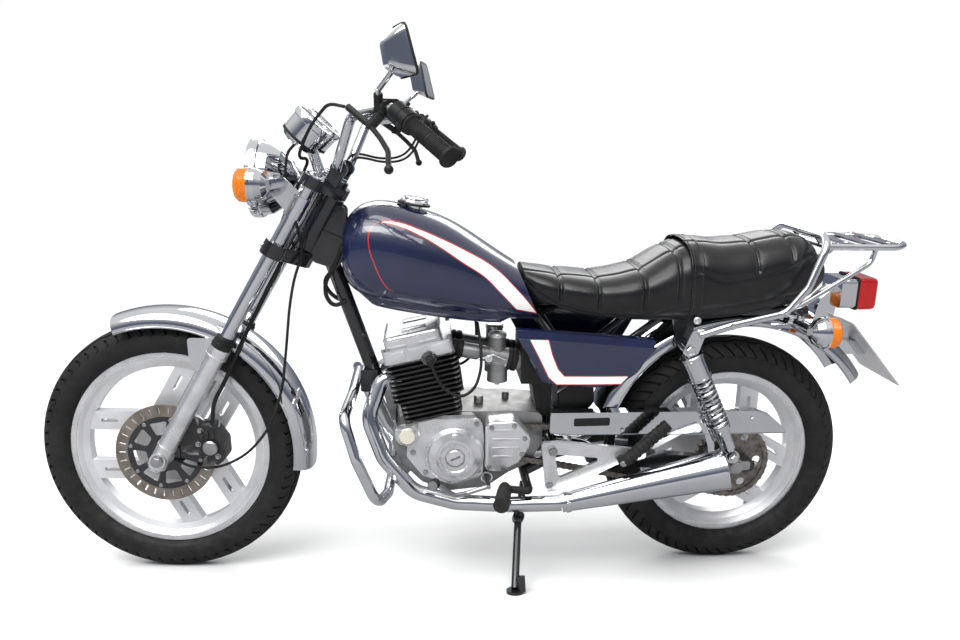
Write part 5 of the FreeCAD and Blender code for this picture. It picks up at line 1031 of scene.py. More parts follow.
def stripe_group():
    """Masks of the white sweep, its red edges and bow, and the painted shade along the crease of the tank panel.
    """
    tree, start, end = group("tank_stripes", [("Width", "Float", 2.4)],
                             [("White", "Float"), ("Red", "Float"), ("Crease shade", "Float")])
    width = start.outputs["Width"]
    upright = node(tree, "ShaderNodeMapping", vector_type="POINT")
    upright.inputs["Scale"].default_value = (1000.0, 1000.0, 1000.0)
    upright.inputs["Rotation"].default_value = (-lean, -nose_pitch, 0.0)
    upright.inputs["Location"].default_value = -(lean_turn.inverted() @ origin)
    put(tree, node(tree, "ShaderNodeTexCoord").outputs["Object"], upright.inputs[0])
    x, _, z = split_axes(tree, upright.outputs[0])
    along, tall = (-900.0, -480.0), (640.0, 920.0)
    upper, lower, foot, tail = (curve_value(tree, x, line, along, tall)
                                for line in (stripe_upper, stripe_lower, panel_foot, stripe_end))
    bow = curve_value(tree, z, panel_bow, (737.0, 892.0), (-900.0, -820.0))
    below_upper = times(tree, maths(tree, "SUBTRACT", upper, z), 0.85)
    above_lower = times(tree, maths(tree, "SUBTRACT", z, lower), 0.85)
    depth = maths(tree, "MINIMUM", below_upper, above_lower)
    depth = maths(tree, "MINIMUM", depth, maths(tree, "SUBTRACT", z, tail))
    depth = maths(tree, "MINIMUM", depth, maths(tree, "ADD", x, 862.0))
    half = times(tree, width, 0.55)

    def near(value, line):
        return maths(tree, "LESS_THAN", maths(tree, "ABSOLUTE", maths(tree, "SUBTRACT", value, line)), half)

    def within(value, low, high):
        return times(tree, maths(tree, "GREATER_THAN", value, low), maths(tree, "LESS_THAN", value, high))

    edge = maths(tree, "GREATER_THAN", depth, times(tree, width, -1.0))
    red = maths(tree, "MAXIMUM", edge, times(tree, near(x, bow), within(z, 737.0, 891.0)))
    put(tree, maths(tree, "GREATER_THAN", depth, 0.0), end.inputs["White"])
    put(tree, red, end.inputs["Red"])
    put(tree, times(tree, near(z, foot), within(x, -834.0, -552.0)), end.inputs["Crease shade"])
    return tree


def tank_material():
    """Navy enamel with the sweep of stripes, and painted shade along the panel crease."""
    material = navy_material("tank_enamel")
    tree = material.node_tree
    colour = tree.nodes["Principled BSDF"].inputs["Base Color"]
    groups["stripes"] = stripe_group()
    masks = use_group(tree, "stripes", Width=2.4)
    # Painted shade: near-black line where the lower crease of the panel falls into shadow
    crease_shaded = mixed(tree, masks["Crease shade"], colour.links[0].from_socket, (0.001, 0.001, 0.002, 1))
    lined = mixed(tree, masks["Red"], crease_shaded, (0.42, 0.014, 0.012, 1))
    put(tree, mixed(tree, masks["White"], lined, (0.80, 0.80, 0.78, 1)), colour)
    return material


tank_slots = frame["nodes"]["fuel_tank"].data.materials
tank_slots.clear()
tank_slots.append(tank_material())


def cap_details():
    """Ring, hinge and flip lid of the filler cap on its black gasket."""
    tilt = math.radians(9.0)
    axis = Vector((math.sin(tilt), 0, math.cos(tilt)))
    centre = Vector((-792, 0, 922))
    form = Form()
    turned(form, [(33.0, -1), (38, -1), (39.5, 1), (38, 3.5), (33.0, 4)], centre, axis, 64, closed=True)
    piece("cap_gasket", form, "rubber")
    form = Form()
    turned(form, [(0, 12.8), (24, 12.8), (25.5, 14.2), (24, 16.2), (14, 17.6), (0, 18)], centre, axis, 64)
    hinge = centre + axis * 13 + Vector((29, 0, -4))
    pipe(form, [hinge + Vector((0, -9, 0)), hinge + Vector((0, 9, 0))], 3.6, 16)
    piece("cap_lid", form, "chrome")


cap_details()


def tank_skirt():
    """Lower panel of the tank, folded in under each side from the edge of its own surface."""
    upright = to_row.inverted()
    mesh = frame["nodes"]["fuel_tank"].data
    surface = BVHTree.FromPolygons([upright @ vertex.co for vertex in mesh.vertices],
                                   [tuple(face.vertices) for face in mesh.polygons])
    form = Form()
    steps = 40
    for side in both_sides:
        rows = []
        for k in range(steps + 1):
            t = k / steps
            start = Vector((-926 + 376 * t, side * 290.0, 505 - 45 * t))
            edge = surface.ray_cast(start, Vector((0, -side, 1)).normalized())[0]
            if edge is None:
                continue
            drop = 20.0 * min(3.0 * math.sin(math.pi * t), 1.0)
            rows.append([edge + Vector((0, -side * inward, -lower * drop + lift)) for inward, lower, lift in (
                (1.5, 0.0, 4.0), (-0.8, 0.0, 1.0), (-0.4, 0.15, 0.0), (4.0, 0.6, 0.0), (12.0, 1.0, 0.0),
                (15.0, 1.0, 1.0), (8.0, 0.4, 1.0), (6.0, 0.0, 3.0))])
        form.skin(rows, capped=True)
    piece("tank_skirt", form, "navy_paint", sharp=40)


tank_skirt()

# Engine

engine_turn = Matrix.Rotation(math.radians(-13.0), 4, "Y")
cylinder_foot = Vector((-742, 0, 418))
head_low_z = 156.3
head_high_z = 190.3


def in_engine(x, y, z):
    """Point given in the leaning frame of the cylinder."""
    return cylinder_foot + engine_turn @ Vector((x, y, z))


def rounded_box(form, x0, x1, y0, y1, z0, z1, radius, place=in_engine):
    """Box with rounded corners about its y axis, put through a placing function."""
    outline = rounded([(x0, z0), (x1, z0), (x1, z1), (x0, z1)], radius, 4)
    form.skin([[place(x, y, z) for x, z in outline] for y in (y0, y1)], capped=True)


def head_details():
    """Raised panels, bolts, gasket, plug wells and header nuts of the cylinder head."""
    panels, screws = Form(), Form()
    up_cylinder = in_engine(0, 0, 1) - in_engine(0, 0, 0)
    for side in both_sides:
        for x in (-76, -23, 30):
            rounded_box(panels, x, x + 46, side * 101.0, side * 105.5, head_low_z + 7, head_low_z + 29, 5)
        for x in (-72, 2):
            rounded_box(panels, x, x + 48, side * 83.0, side * 86.5, head_high_z + 4, head_high_z + 19, 5)
        for x in (-79, 79):
            bolt(screws, in_engine(x, side * 88, head_high_z), up_cylinder, 5.5, 6)
        rounded_box(panels, -30, 30, side * 60.0, side * 30.0, head_high_z + 27.5, head_high_z + 31, 4)
    piece("head_panels", panels, "polished_alloy", bevel=1.4)
    piece("head_bolts", screws, "steel")
    outline = rounded([(-85, -103), (85, -103), (85, 103), (-85, 103)], 14)
    gasket = Form().skin([[in_engine(x, y, head_low_z - z) for x, y in outline] for z in (-1.5, 1.6)],
                         capped=True)
    piece("head_gasket", gasket, "fin_black")
    plugs, nuts = Form(), Form()
    for side in both_sides:
        turned(plugs, [(17, -3), (18.5, 1.5), (14, 2.4), (8.6, 4.0), (8.6, -3)], (-755, side * 101.6, 575),
               (0.15, side, -0.2), 32, closed=True)
        base = Vector((-846, side * 58.2, 510.2))
        axis = Vector((-44, side * 4, 4)).normalized()
        across = axis.cross(right).normalized()
        for angle in (0.4, 0.4 + math.pi):
            bolt(nuts, base + (across * math.cos(angle) + right * math.sin(angle)) * 30, axis, 6, 9)
    piece("plug_wells", plugs, "fin_black")
    piece("header_nuts", nuts, "chrome")


head_details()


def cover_details():
    """Rings, plugs, bosses and screws of the engine covers, and a painted shade in the slot of the alternator
    plug.
    """
    left = -96.3
    middle = Vector((-692, left, 338))
    form = Form()
    turned(form, [(66, 27), (69, 29.5), (64, 32), (61, 29)], middle, -right, 96, closed=True)
    turned(form, [(40, 43), (44.5, 46.5), (37, 46.5), (33, 43)], middle, -right, 80, closed=True)
    turned(form, [(0, 41), (19, 41), (20.5, 42), (20.5, 46), (18.5, 47.6), (0, 47.6)], middle, -right, 48)
    for a in around_circle(5, 0.5):
        rib = Vector((math.cos(a), 0, math.sin(a)))
        prism(form, [(middle.x + rib.x * r - rib.z * w, middle.z + rib.z * r + rib.x * w)
                     for r, w in ((24, -2), (40, -2), (40, 2), (24, 2))], left - 44.0, left - 46.0)
    boss = Vector((middle.x, left - 30, middle.z + 48))
    turned(form, [(0, 0), (12, 0), (12, 9), (9.5, 12), (0, 12)], boss, -right, 40)
    piece("alternator_details", form, "polished_alloy", bevel=0.5)
    # Painted shade: a thin black bar on the face of the alternator plug stands in for the shadow in its slot
    slot_shade_form = Form()
    rounded_box(slot_shade_form, -13, 13, left - 47.4, left - 48.4, -2.2, 2.2, 1.5,
                lambda x, y, z: Vector((middle.x + x * 0.9 - z * 0.4, y, middle.z + z * 0.9 + x * 0.4)))
    piece("alternator_slot_shade", slot_shade_form, "fin_black")
    alternator_spots = [(-786, 412), (-640, 412), (-634, 290), (-704, 264), (-762, 288), (-792, 340)]
    sprocket_spots = [(-606, 412), (-552, 416), (-526, 384), (-532, 344), (-576, 310), (-610, 312)]
    right_spots = [(-790, 400), (-610, 412), (-556, 374), (-572, 300), (-700, 260), (-788, 304)]
    clutch_spots = [(-640 + 78 * math.cos(a), 338 + 78 * math.sin(a)) for a in around_circle(7, 0.3)]
    pivot_spots = [(-458, 352)]
    mount_spots = [(-462, 262), (-248, 341)]
    screws = Form()
    for spots, y, radius, height in (
            (alternator_spots, left - 12, 5.5, 6), (sprocket_spots, -134.0, 5, 5),
            (right_spots, 112.3, 5.5, 6), (clutch_spots, 133.0, 5, 6),
            (pivot_spots, -139.0, 9, 8), (pivot_spots, 139.0, 9, 8),
            (mount_spots, -133.0, 7, 6), (mount_spots, 133.0, 7, 6)):
        for x, z in spots:
            bolt(screws, (x, y, z), right * math.copysign(1, y), radius, height)
    piece("engine_screws", screws, "steel")
    cap = turned(Form(), [(0, 33), (17.5, 33), (18.5, 34), (17.5, 35.2), (0, 35.6)], (-806, left, 388),
                 -right)
    piece("starter_cap", cap, "cream_paint")
    ribs = Form()
    for k in range(4):
        z = 336 + 22 * k
        end_x = -546 + 6 * min(k, 2)
        prism(ribs, rounded([(-604, z), (end_x, z), (end_x, z + 5), (-604, z + 5)], 2), -133.5, -135.4)
    turned(ribs, [(11, 0), (15, 0), (15, 3), (11, 3)], (-612, -96, 268), -right, 32, closed=True)
    piece("sprocket_cover_ribs", ribs, "polished_alloy", bevel=0.6)
    case = Form()
    for k in range(3):
        size = 15 - 3 * k
        turned(case, [(0, 0), (size, 0), (size, 14), (size - 3, 17), (0, 17)],
               (-700 + 70 * k, -40 + 30 * k, 432), (0, 0, 1), 32)
    turned(case, [(0, -40), (26, -40), (26, 62), (22, 66), (0, 66)], (-790, 0, 300), (-0.6, 0, -0.8), 48)
    piece("case_bosses", case, "engine_alloy", bevel=0.4)


cover_details()


def carburettor_details():
    """Bowls, caps, screws, rubber boots and linkage of the carburettors."""
    metal, boots, bright = Form(), Form(), Form()
    up = (0, 0, 1)
    for side in both_sides:
        y = side * 42.0
        turned(metal, [(25.2, 0), (28, 2), (28, 8), (25.2, 10)], (-588, y, 544), up, 40, closed=True)
        turned(metal, [(10, -6), (25.4, 0), (25.4, 4), (10, 4)], (-588, y, 500), up, 40)
        turned(bright, [(0, 0), (22.5, 0), (22.5, 6), (19, 10), (6, 13), (0, 13)], (-590, y, 612), up, 40)
        turned(boots, [(19.2, 0), (24, 2), (24, 8), (21, 12), (24, 16), (24, 24), (19.2, 27)], (-700, y, 583),
               (100, 0, -18), 40, closed=True)
        turned(boots, [(23.2, 0), (27.5, 2), (27.5, 9), (25, 12), (27.5, 15), (27.5, 24), (23.2, 26)],
               (-566, y, 556), (38, 0, -8), 40, closed=True)
        for a in around_circle(4, 0.8):
            bolt(bright, (-588 + 26 * math.cos(a), y + 26 * math.sin(a), 552), up, 2.6, 4, True)
        bolt(bright, (-588, y, 496), (0, 0, -1), 6, 7)
    pipe(bright, [(-640, -70, 560), (-600, -72, 574), (-570, -70, 560)], 2.4, 10)
    turned(bright, [(0, 0), (9, 0), (9, 5), (0, 5)], (-612, -66, 564), -right, 24)
    piece("carburettor_castings", metal, "engine_alloy")
    piece("carburettor_boots", boots, "rubber")
    piece("carburettor_caps", bright, "polished_alloy")


carburettor_details()


def battery_box():
    """Black tray and box between the side covers, ahead of the rear mudguard."""
    form = Form()
    prism(form, rounded([(-506, 512), (-352, 512), (-346, 446), (-376, 412), (-488, 412)], 10), -54.0, 54.0)
    panel = rounded([(-486, 500), (-368, 500), (-364, 450), (-388, 426), (-474, 426)], 8)
    for side in both_sides:
        prism(form, panel, side * 54.0, side * 57.0)
    piece("battery_box", form, "black_plastic", bevel=1.5)


battery_box()

# Springs, pegs and guards


def helix(form, top, bottom, radius, wire, turns):
    """Coil of round wire between two points."""
    steps = 26
    axis, across, other = cross_axes(bottom - top)
    reach = (bottom - top).length
    points = []
    for k in range(turns * steps + 1):
        a = 2 * math.pi * k / steps
        points.append(top + axis * reach * k / (turns * steps)
                      + (across * math.cos(a) + other * math.sin(a)) * radius)
    pipe(form, points, wire, 10)


def make_shocks():
    """Coil springs, bright collars, end caps and bushes of both shocks."""
    springs, collars, bushes = Form(), Form(), Form()
    for side in both_sides:
        top = shock_top + right * (side * shock_y)
        low = shock_bottom + right * (side * shock_y)
        run = low - top
        helix(springs, top + run * 0.275, top + run * 0.69, 22.0, 3.9, 10)
        for profile, steps in (([(27.1, 0.06), (28.4, 0.065), (28.4, 0.085), (27.1, 0.09)], 48),
                               ([(24, 0.255), (28.6, 0.258), (28.6, 0.272), (18, 0.274)], 48),
                               ([(13.2, 0.74), (19, 0.74), (17.5, 0.93), (13.2, 0.93)], 40)):
            turned(collars, [(r, share * run.length) for r, share in profile], top, run, steps, closed=True)
        for spot in (top, low):
            turned(bushes, [(7.5, -13), (12.5, -13), (12.5, 13), (7.5, 13)], spot, right, 32, closed=True)
            turned(collars, [(0, 12.5), (9.5, 12.5), (9.5, 15), (8, 21), (5, 23.5), (0, 24)], spot,
                   right * side, 32)
    piece("shock_coils", springs, "chrome", replaces=("shock_springs",))
    piece("shock_collars", collars, "chrome")
    piece("shock_bushes", bushes, "rubber")


make_shocks()


def ribbed_sleeve(form, start, end, radius, ribs, depth):
    """Rubber sleeve with rings round it, from one point to another."""
    start, end = Vector(start), Vector(end)
    reach = (end - start).length
    inner = radius - depth
    profile = [(0, 0), (inner, 0)]
    for k in range(ribs):
        profile += [(size, reach * (k + share) / ribs)
                    for share, size in ((0.1, inner), (0.25, radius), (0.75, radius), (0.9, inner))]
    turned(form, profile + [(inner, reach), (0, reach)], start, end - start, 32)


def make_pegs():
    """Ribbed rubbers of the foot pegs, passenger pegs and levers, and their bolts."""
    rubbers, ends = Form(), Form()
    for side in both_sides:
        ribbed_sleeve(rubbers, (-578, side * 190.0, 273.5), (-595, side * 290.0, 291), 17.0, 9, 1.6)
        turned(rubbers, [(0, 0), (18.5, 0), (18.5, 4), (15, 6), (0, 6)], (-594, side * 286.0, 290),
               (-21, side * 126.0, 22), 32)
        ribbed_sleeve(rubbers, (-282, side * 152.5, 334), (-190, side * 156.0, 425), 15.5, 10, 1.8)
        ribbed_sleeve(rubbers, (-739, side * 172.0, 289), (-746, side * 205.0, 298), 12.4, 5, 1.2)
        bolt(ends, (-290, side * 160.0, 330), right * side, 7, 5)
    piece("peg_rubbers", rubbers, "rubber")
    piece("peg_bolts", ends, "steel")


make_pegs()


def guard_details():
    """Plain dark panel, rolled edge and bolts of the chain guard."""
    face_y = -103.0
    edge_y = -102.2
    form = Form()
    prism(form, rounded([(-404, 402), (-316, 404), (-316, 424), (-404, 422)], 5), face_y, face_y - 0.9)
    piece("guard_panel", form, "black_plastic")
    edge = [(x, edge_y, z) for x, z in ((-460, 384), (-438, 380), (-90, 381), (126, 383))]
    form = pipe(Form(), edge, 2.0, 8)
    for x, z in ((-284, 392), (-62, 392), (40, 420)):
        bolt(form, (x, face_y, z), -right, 5.5, 4.5)
    piece("guard_edge", form, "chrome")


guard_details()

# Lamps, dials, mirrors and grips

lamp_centre = Vector((-1150, 0, 976))
dial_centre = Vector((-1008, 58, 1104))
dial_tilt = math.radians(47.0)
dial_axis = Vector((math.cos(dial_tilt), 0, math.sin(dial_tilt)))
dial_up = Vector((-math.sin(dial_tilt), 0, math.cos(dial_tilt)))
bar_rise = Vector((-915, 135, 1116))
bar_bend = Vector((-811, 279, 1127))
grip_tip = Vector((-694, 400, 1036))
# Turn of each mirror about the upright by its side, and the lean of both glasses
mirror_swing = {-1: math.radians(20.0), 1: math.radians(-6.0)}
mirror_tilt = math.radians(-13)


def lamp_details():
    """Reflector, bulb, fluted glass, rim and bolts of the headlamp."""
    back = Vector((1, 0, 0))
    bowl = [(81.2, 0.5), (76, 26), (62, 46), (40, 62), (14, 71), (0, 72), (0, 70.6), (14, 69.6), (39.5, 60.6),
            (61, 44.8), (75, 25), (80, 0.5)]
    form = turned(Form(), bowl, lamp_centre, back, 96)
    piece("lamp_reflector", form, "mirror_glass", "fork")
    form = turned(Form(), [(0, 20), (7, 20.6), (8, 24), (8, 50), (6, 60), (0, 62)], lamp_centre, back, 32)
    piece("lamp_bulb", form, "lamp_glass", "fork")
    radius = 84.0
    rows = []
    for share in (0.0, 0.12, 0.24, 0.36, 0.48, 0.6, 0.72, 0.84, 0.93, 1.0):
        row = []
        for a in around_circle(160):
            y, z = radius * share * math.sin(a), radius * share * math.cos(a)
            flute = 0.7 * math.cos(2 * math.pi * y / 8.5) if share < 0.93 else 0
            row.append((lamp_centre.x - 9.0 - 13.5 * (1 - share ** 2.2) + flute, y, lamp_centre.z + z))
        rows.append(row)
    for share, x in ((1.0, -3.0), (0.96, -1.8), (0.9, -6.0), (0.6, -13.0), (0.3, -17.0), (0.0, -18.5)):
        size = radius * share
        rows.append([(lamp_centre.x + x, size * math.sin(a), lamp_centre.z + size * math.cos(a))
                     for a in around_circle(160)])
    piece("lamp_glass_fluted", Form().skin(rows), "lamp_glass", "fork", ("headlamp_lens",), sharp=60)
    rim = [(85.5, -12), (89.6, -12), (90.8, -8), (90.8, 4), (89.2, 9), (88.8, 9), (88.8, -10)]
    form = turned(Form(), rim, lamp_centre, back, 96, closed=True)
    piece("lamp_rim", form, "chrome", "fork")
    form = Form()
    for side in both_sides:
        bolt(form, lamp_centre + Vector((28, side * 104.0, 0)), right * side, 8, 8)
        for z in (238.0, 268.0):
            spot = fork_point(0, side * 60.5, z)
            turned(form, [(0, 0), (6, 0), (6, 2), (4.5, 4.5), (0, 5)], spot, right * side, 24)
    piece("lamp_bolts", form, "chrome", "fork")


lamp_details()


def indicator_details(name, x, y, z, facing, body, replaces):
    """Ribbed amber lens with a trim ring and two screws, for both sides."""
    profile = [(0, 0.5), (36.4, 0.5), (36.4, 6)]
    for k in range(5):
        along = 7 + 3.4 * k
        profile += [(36.2 - 0.2 * k, along), (35.2 - 0.2 * k, along + 1.2), (36.0 - 0.2 * k, along + 2.4)]
    profile += [(33.5, 26.5), (29, 30.5), (20.5, 33.6), (10, 34), (0, 34)]
    axis = Vector((facing, 0, 0))
    lens, rims, screws = Form(), Form(), Form()
    for side in both_sides:
        centre = Vector((x, side * y, z))
        turned(lens, profile, centre, axis, 64)
        turned(rims, [(36.8, -3), (38.2, -1.5), (38.2, 2.5), (36.8, 3.5), (36.5, 0)], centre, axis, 64,
               closed=True)
        for offset in (-24.0, 24.0):
            spot = centre + axis * 31.4 + right * offset
            turned(screws, [(0, 0), (2.6, 0), (2.4, 1.4), (0, 1.6)], spot, axis, 16)
    piece(name + "_ribbed", lens, "amber_lens", body, replaces, sharp=40)
    piece(name + "_rings", rims, "chrome", body)
    piece(name + "_screws", screws, "steel", body)


indicator_details("front_lens", -1118, 190, 969, -1, "fork", ("front_indicator_lenses",))
indicator_details("rear_lens", 160, 165, 655, 1, "frame", ("rear_indicator_lenses",))


def tail_details():
    """Fluted red lens, its gasket, the screws, and the rim of the blank plate."""
    outline = rounded([(-52, 682), (52, 682), (52, 762), (-52, 762)], 12, 6)
    middle = Vector((0, 722))

    def sized(x, share):
        return [(x, (p - middle).x * share, middle.y + (p - middle).y * share) for p in outline]

    rows = [sized(x, share) for x, share in (
        (294.4, 1.0), (300, 1.0), (303, 0.985), (306, 1.0), (332, 0.985), (340, 0.95), (343.5, 0.88),
        (344, 0.7), (343.2, 0.69), (344, 0.45), (343.2, 0.44), (344, 0.2))]
    piece("tail_lens_fluted", Form().skin(rows, capped=True), "red_lens", replaces=("tail_lens",), sharp=30)
    gasket = Form().skin([sized(292.6, 1.02), sized(295.4, 1.02)], capped=True)
    piece("tail_gasket", gasket, "rubber")
    form = Form()
    cap = [(0, 0), (5, 0), (5, 2), (4, 3), (0, 3.4)]
    for side in both_sides:
        turned(form, [(0, 0), (3.5, 0), (3.2, 1.4), (0, 1.8)], (343.4, side * 38, 722), (1, 0, 0), 20)
        turned(form, cap, (400, side * 60, 509.5), (0.75, 0, 0.66), 20)
        turned(form, cap, (300, side * 60, 622.5), (0.75, 0, 0.66), 20)
    piece("tail_screws", form, "steel")
    down_plate = Vector((0.662, 0, -0.749))
    loop = [Vector((338.5, 0, 579.5)) + right * y + down_plate * v
            for y, v in ((-90, -101), (90, -101), (90, 101), (-90, 101))]
    piece("plate_rim", pipe(Form(), loop + loop[:1], 1.8, 8), "plate_steel")


tail_details()


def dial_mark(form, face, degrees, outline, lifts):
    """Flat mark on a dial, from its (outwards, across) outline, at this turn from the top."""
    a = math.radians(degrees)
    way = dial_up * math.cos(a) + right * math.sin(a)
    flat = dial_up * -math.sin(a) + right * math.cos(a)
    form.skin([[face + way * r + flat * w + dial_axis * lift for r, w in outline] for lift in lifts],
              capped=True)


def dial_details():
    """Marks, needles, hubs, glasses, bezels and rubber bands of both dials."""
    marks, needles, hubs, glass, bezels, bands = Form(), Form(), Form(), Form(), Form(), Form()
    for side in both_sides:
        face = mirrored(dial_centre, side) - dial_axis * 1.7
        for k in range(33):
            long, wide = (7.0, 0.8) if k % 4 == 0 else (3.6, 0.4)
            outline = ((39.5 - long, -wide), (39.5, -wide), (39.5, wide), (39.5 - long, wide))
            dial_mark(marks, face, -130 + 260 * k / 32, outline, (-0.2, 0.25))
        dial_mark(needles, face, -128, ((-6, -1.6), (33, -0.5), (33, 0.5), (-6, 1.6)), (0.9, 1.6))
        turned(hubs, [(0, -0.5), (5, -0.5), (5, 2), (3.5, 3), (0, 3)], face, dial_axis, 24)
        turned(glass, [(0, 3.0), (41.5, 3.0), (41.5, 4.4), (0, 4.6)], face, dial_axis, 64)
        turned(bezels, [(41.2, 1.2), (41.2, 5.6), (43.5, 7.2), (46.8, 6.4), (48.2, 3.6), (48.2, -6),
                        (47.1, -6), (47.1, 2)], face, dial_axis, 80, closed=True)
        turned(bands, [(44.1, -46), (45.2, -46), (45.2, -52), (44.1, -52)], face, dial_axis, 64,
               closed=True)
    piece("dial_marks", marks, "white_paint", "fork")
    piece("dial_needles", needles, "red_paint", "fork")
    piece("dial_hubs", hubs, "black_plastic", "fork")
    piece("dial_glass", glass, "lamp_glass", "fork")
    piece("dial_bezels", bezels, "chrome", "fork")
    piece("dial_bands", bands, "rubber", "fork")


dial_details()


def bar_way(side):
    """Direction of the handlebar from its outer bend up to its rise."""
    return (mirrored(bar_rise, side) - mirrored(bar_bend, side)).normalized()


def mirror_stem(side):
    """Points of a bent mirror stem on its clamp."""
    base = mirrored(bar_bend, side) + bar_way(side) * 30 + Vector((-14, 0, 24))
    return [base, base + Vector((2, side * 12, 14))] + [mirrored(point, side) for point in (
        (-841, 262, 1162), (-826, 284, 1177), (-811, 306, 1192), (-806, 322, 1212), (-800, 328, 1222))]


def mirror_details():
    """Bent stems, drawn shells that swell from a small back, black trims and glasses."""
    outline = rounded([(-62, -47), (62, -47), (45, 46), (-45, 46)], 16, 8)
    middle = Vector((0, 2))
    shell = [[(x, *(middle + (p - middle) * share)) for p in outline] for x, share in (
        (-41, 0.02), (-41, 0.3), (-40, 0.42), (-36, 0.54), (-27, 0.70), (-16, 0.85), (-7, 0.95), (-3, 0.99),
        (-0.5, 1.0))]
    pane = [[(x, *p) for p in inset(outline, 4)] for x in (-0.6, 0.9)]
    frame_rows = [[(x, *p) for p in inset(outline, amount)] for x, amount in (
        (-4.0, -0.2), (-4.0, -1.3), (0.6, -1.3), (1.4, -0.2), (1.4, 3.4), (0.2, 4.2), (-0.6, 2.0))]
    stems, shells, glass, trim, joints = Form(), Form(), Form(), Form(), Form()
    for side in both_sides:
        turn = Matrix.Rotation(mirror_swing[side], 4, "Z") @ Matrix.Rotation(mirror_tilt, 4, "Y")
        centre = Vector((-783, side * 336.0, 1229))
        for form, rows, ends in ((shells, shell, {"capped": True}), (glass, pane, {"capped": True}),
                                 (trim, frame_rows, {"closed": True})):
            form.skin([[centre + turn @ Vector(point) for point in row] for row in rows], **ends)
        stem = mirror_stem(side)
        pipe(stems, stem, 5.5, 16)
        turned(joints, [(0, -2), (9.5, -2), (9.5, 6), (7.5, 9), (0, 9)], stem[0], (0, 0, 1), 24)
        turned(joints, [(0, -6), (8, -6), (9, 0), (9, 8), (6, 14), (0, 14)], (-811, side * 318.0, 1206),
               (0.3, 0, 1), 24)
    piece("mirror_stems", stems, "chrome", "fork")
    piece("mirror_shells", shells, "chrome", "fork", ("mirrors",), sharp=50)
    piece("mirror_joints", joints, "black_plastic", "fork")
    piece("mirror_glasses", glass, "mirror_glass", "fork")
    piece("mirror_trims", trim, "black_plastic", "fork")


mirror_details()


def bar_end(side):
    """Outer end of a grip, and the way along the bar from it."""
    tip = mirrored(grip_tip, side)
    return tip, (mirrored(bar_bend, side) - tip).normalized()


def make_grips():
    """Ribbed rubber grips in two zones between their flanges."""
    profile = [(0, -3.4), (16, -3.4), (20, -2), (21.8, 1), (21.8, 4.5), (18, 7)]
    ribs = 11
    for zone_start, zone_end in ((10, 62), (66, 118)):
        step = (zone_end - zone_start) / ribs
        for k in range(ribs):
            at = zone_start + step * k
            profile += [(15.7, at), (17.0, at + step * 0.25), (17.0, at + step * 0.7),
                        (15.7, at + step * 0.95)]
    profile += [(18, 120), (21.6, 122), (21.6, 127.6), (11.5, 127.8)]
    form = Form()
    for side in both_sides:
        turned(form, profile, *bar_end(side), 40)
    piece("ribbed_grips", form, "rubber", "fork", ("grips",))


make_grips()


def control_details():
    """Switch buttons, clamp rings and the lid and window of the brake fluid tank."""
    form = Form()
    for side in both_sides:
        tip, inward = bar_end(side)
        up = (Vector((0, 0, 1)) - inward * inward.z).normalized()
        back = inward.cross(up) * side
        for at, height, size in ((146, 0.5, 5.5), (158, -0.3, 4.5), (168, 0.9, 4.0)):
            way = (up * height - back * (1 - abs(height) * 0.5)).normalized()
            turned(form, [(0, 20), (size, 20), (size, 27), (size * 0.7, 29), (0, 29)], tip + inward * at,
                   way, 20)
        turned(form, [(23.0, 150), (23.9, 150.6), (23.9, 152.4), (23.0, 153)], tip, inward, 40, closed=True)
    piece("switch_buttons", form, "black_plastic", "fork")
    middle = bar_bend + bar_way(1) * 66 + Vector((-24, 0, 32))
    left, far = middle.x - 33, middle.x + 25
    low, high = middle.y - 25, middle.y + 25
    outline = rounded([(left, low), (far, low), (far, high), (left, high)], 8)
    lid = Form().skin([[(x, y, middle.z + z) for x, y in outline] for z in (11.5, 17.5)], capped=True)
    piece("fluid_lid", lid, "black_plastic", "fork", bevel=1.5)
    left, far = middle.x - 20, middle.x + 10
    outline = rounded([(left, -8), (far, -8), (far, 6), (left, 6)], 4)
    window = Form().skin([[(x, middle.y - 24.8 + y, middle.z + z) for x, z in outline] for y in (0.6, -0.8)],
                         capped=True)
    piece("fluid_window", window, "amber_lens", "fork")


control_details()


def softened(points):
    """Route with its corners cut three times into a smooth line."""
    for _ in range(3):
        inner = []
        for here, ahead in zip(points, points[1:]):
            inner += [here * 0.75 + ahead * 0.25, here * 0.25 + ahead * 0.75]
        points = [points[0]] + inner[1:-1] + [points[-1]]
    return points


def throttle_cables():
    """Pair of black cables from the right-hand control to the steering head."""
    form = Form()
    route = [(-800, 300, 1100), (-820, 288, 1052), (-848, 250, 1026), (-893, 190, 1023), (-927, 130, 1034),
             (-948, 84, 1036), (-960, 46, 1008), (-972, 24, 966)]
    for shift in ((0, 0, 0), (6, 3, -9)):
        pipe(form, softened([Vector(point) + Vector(shift) for point in route]), 3.0, 10)
    piece("throttle_cables", form, "rubber", "fork")


throttle_cables()


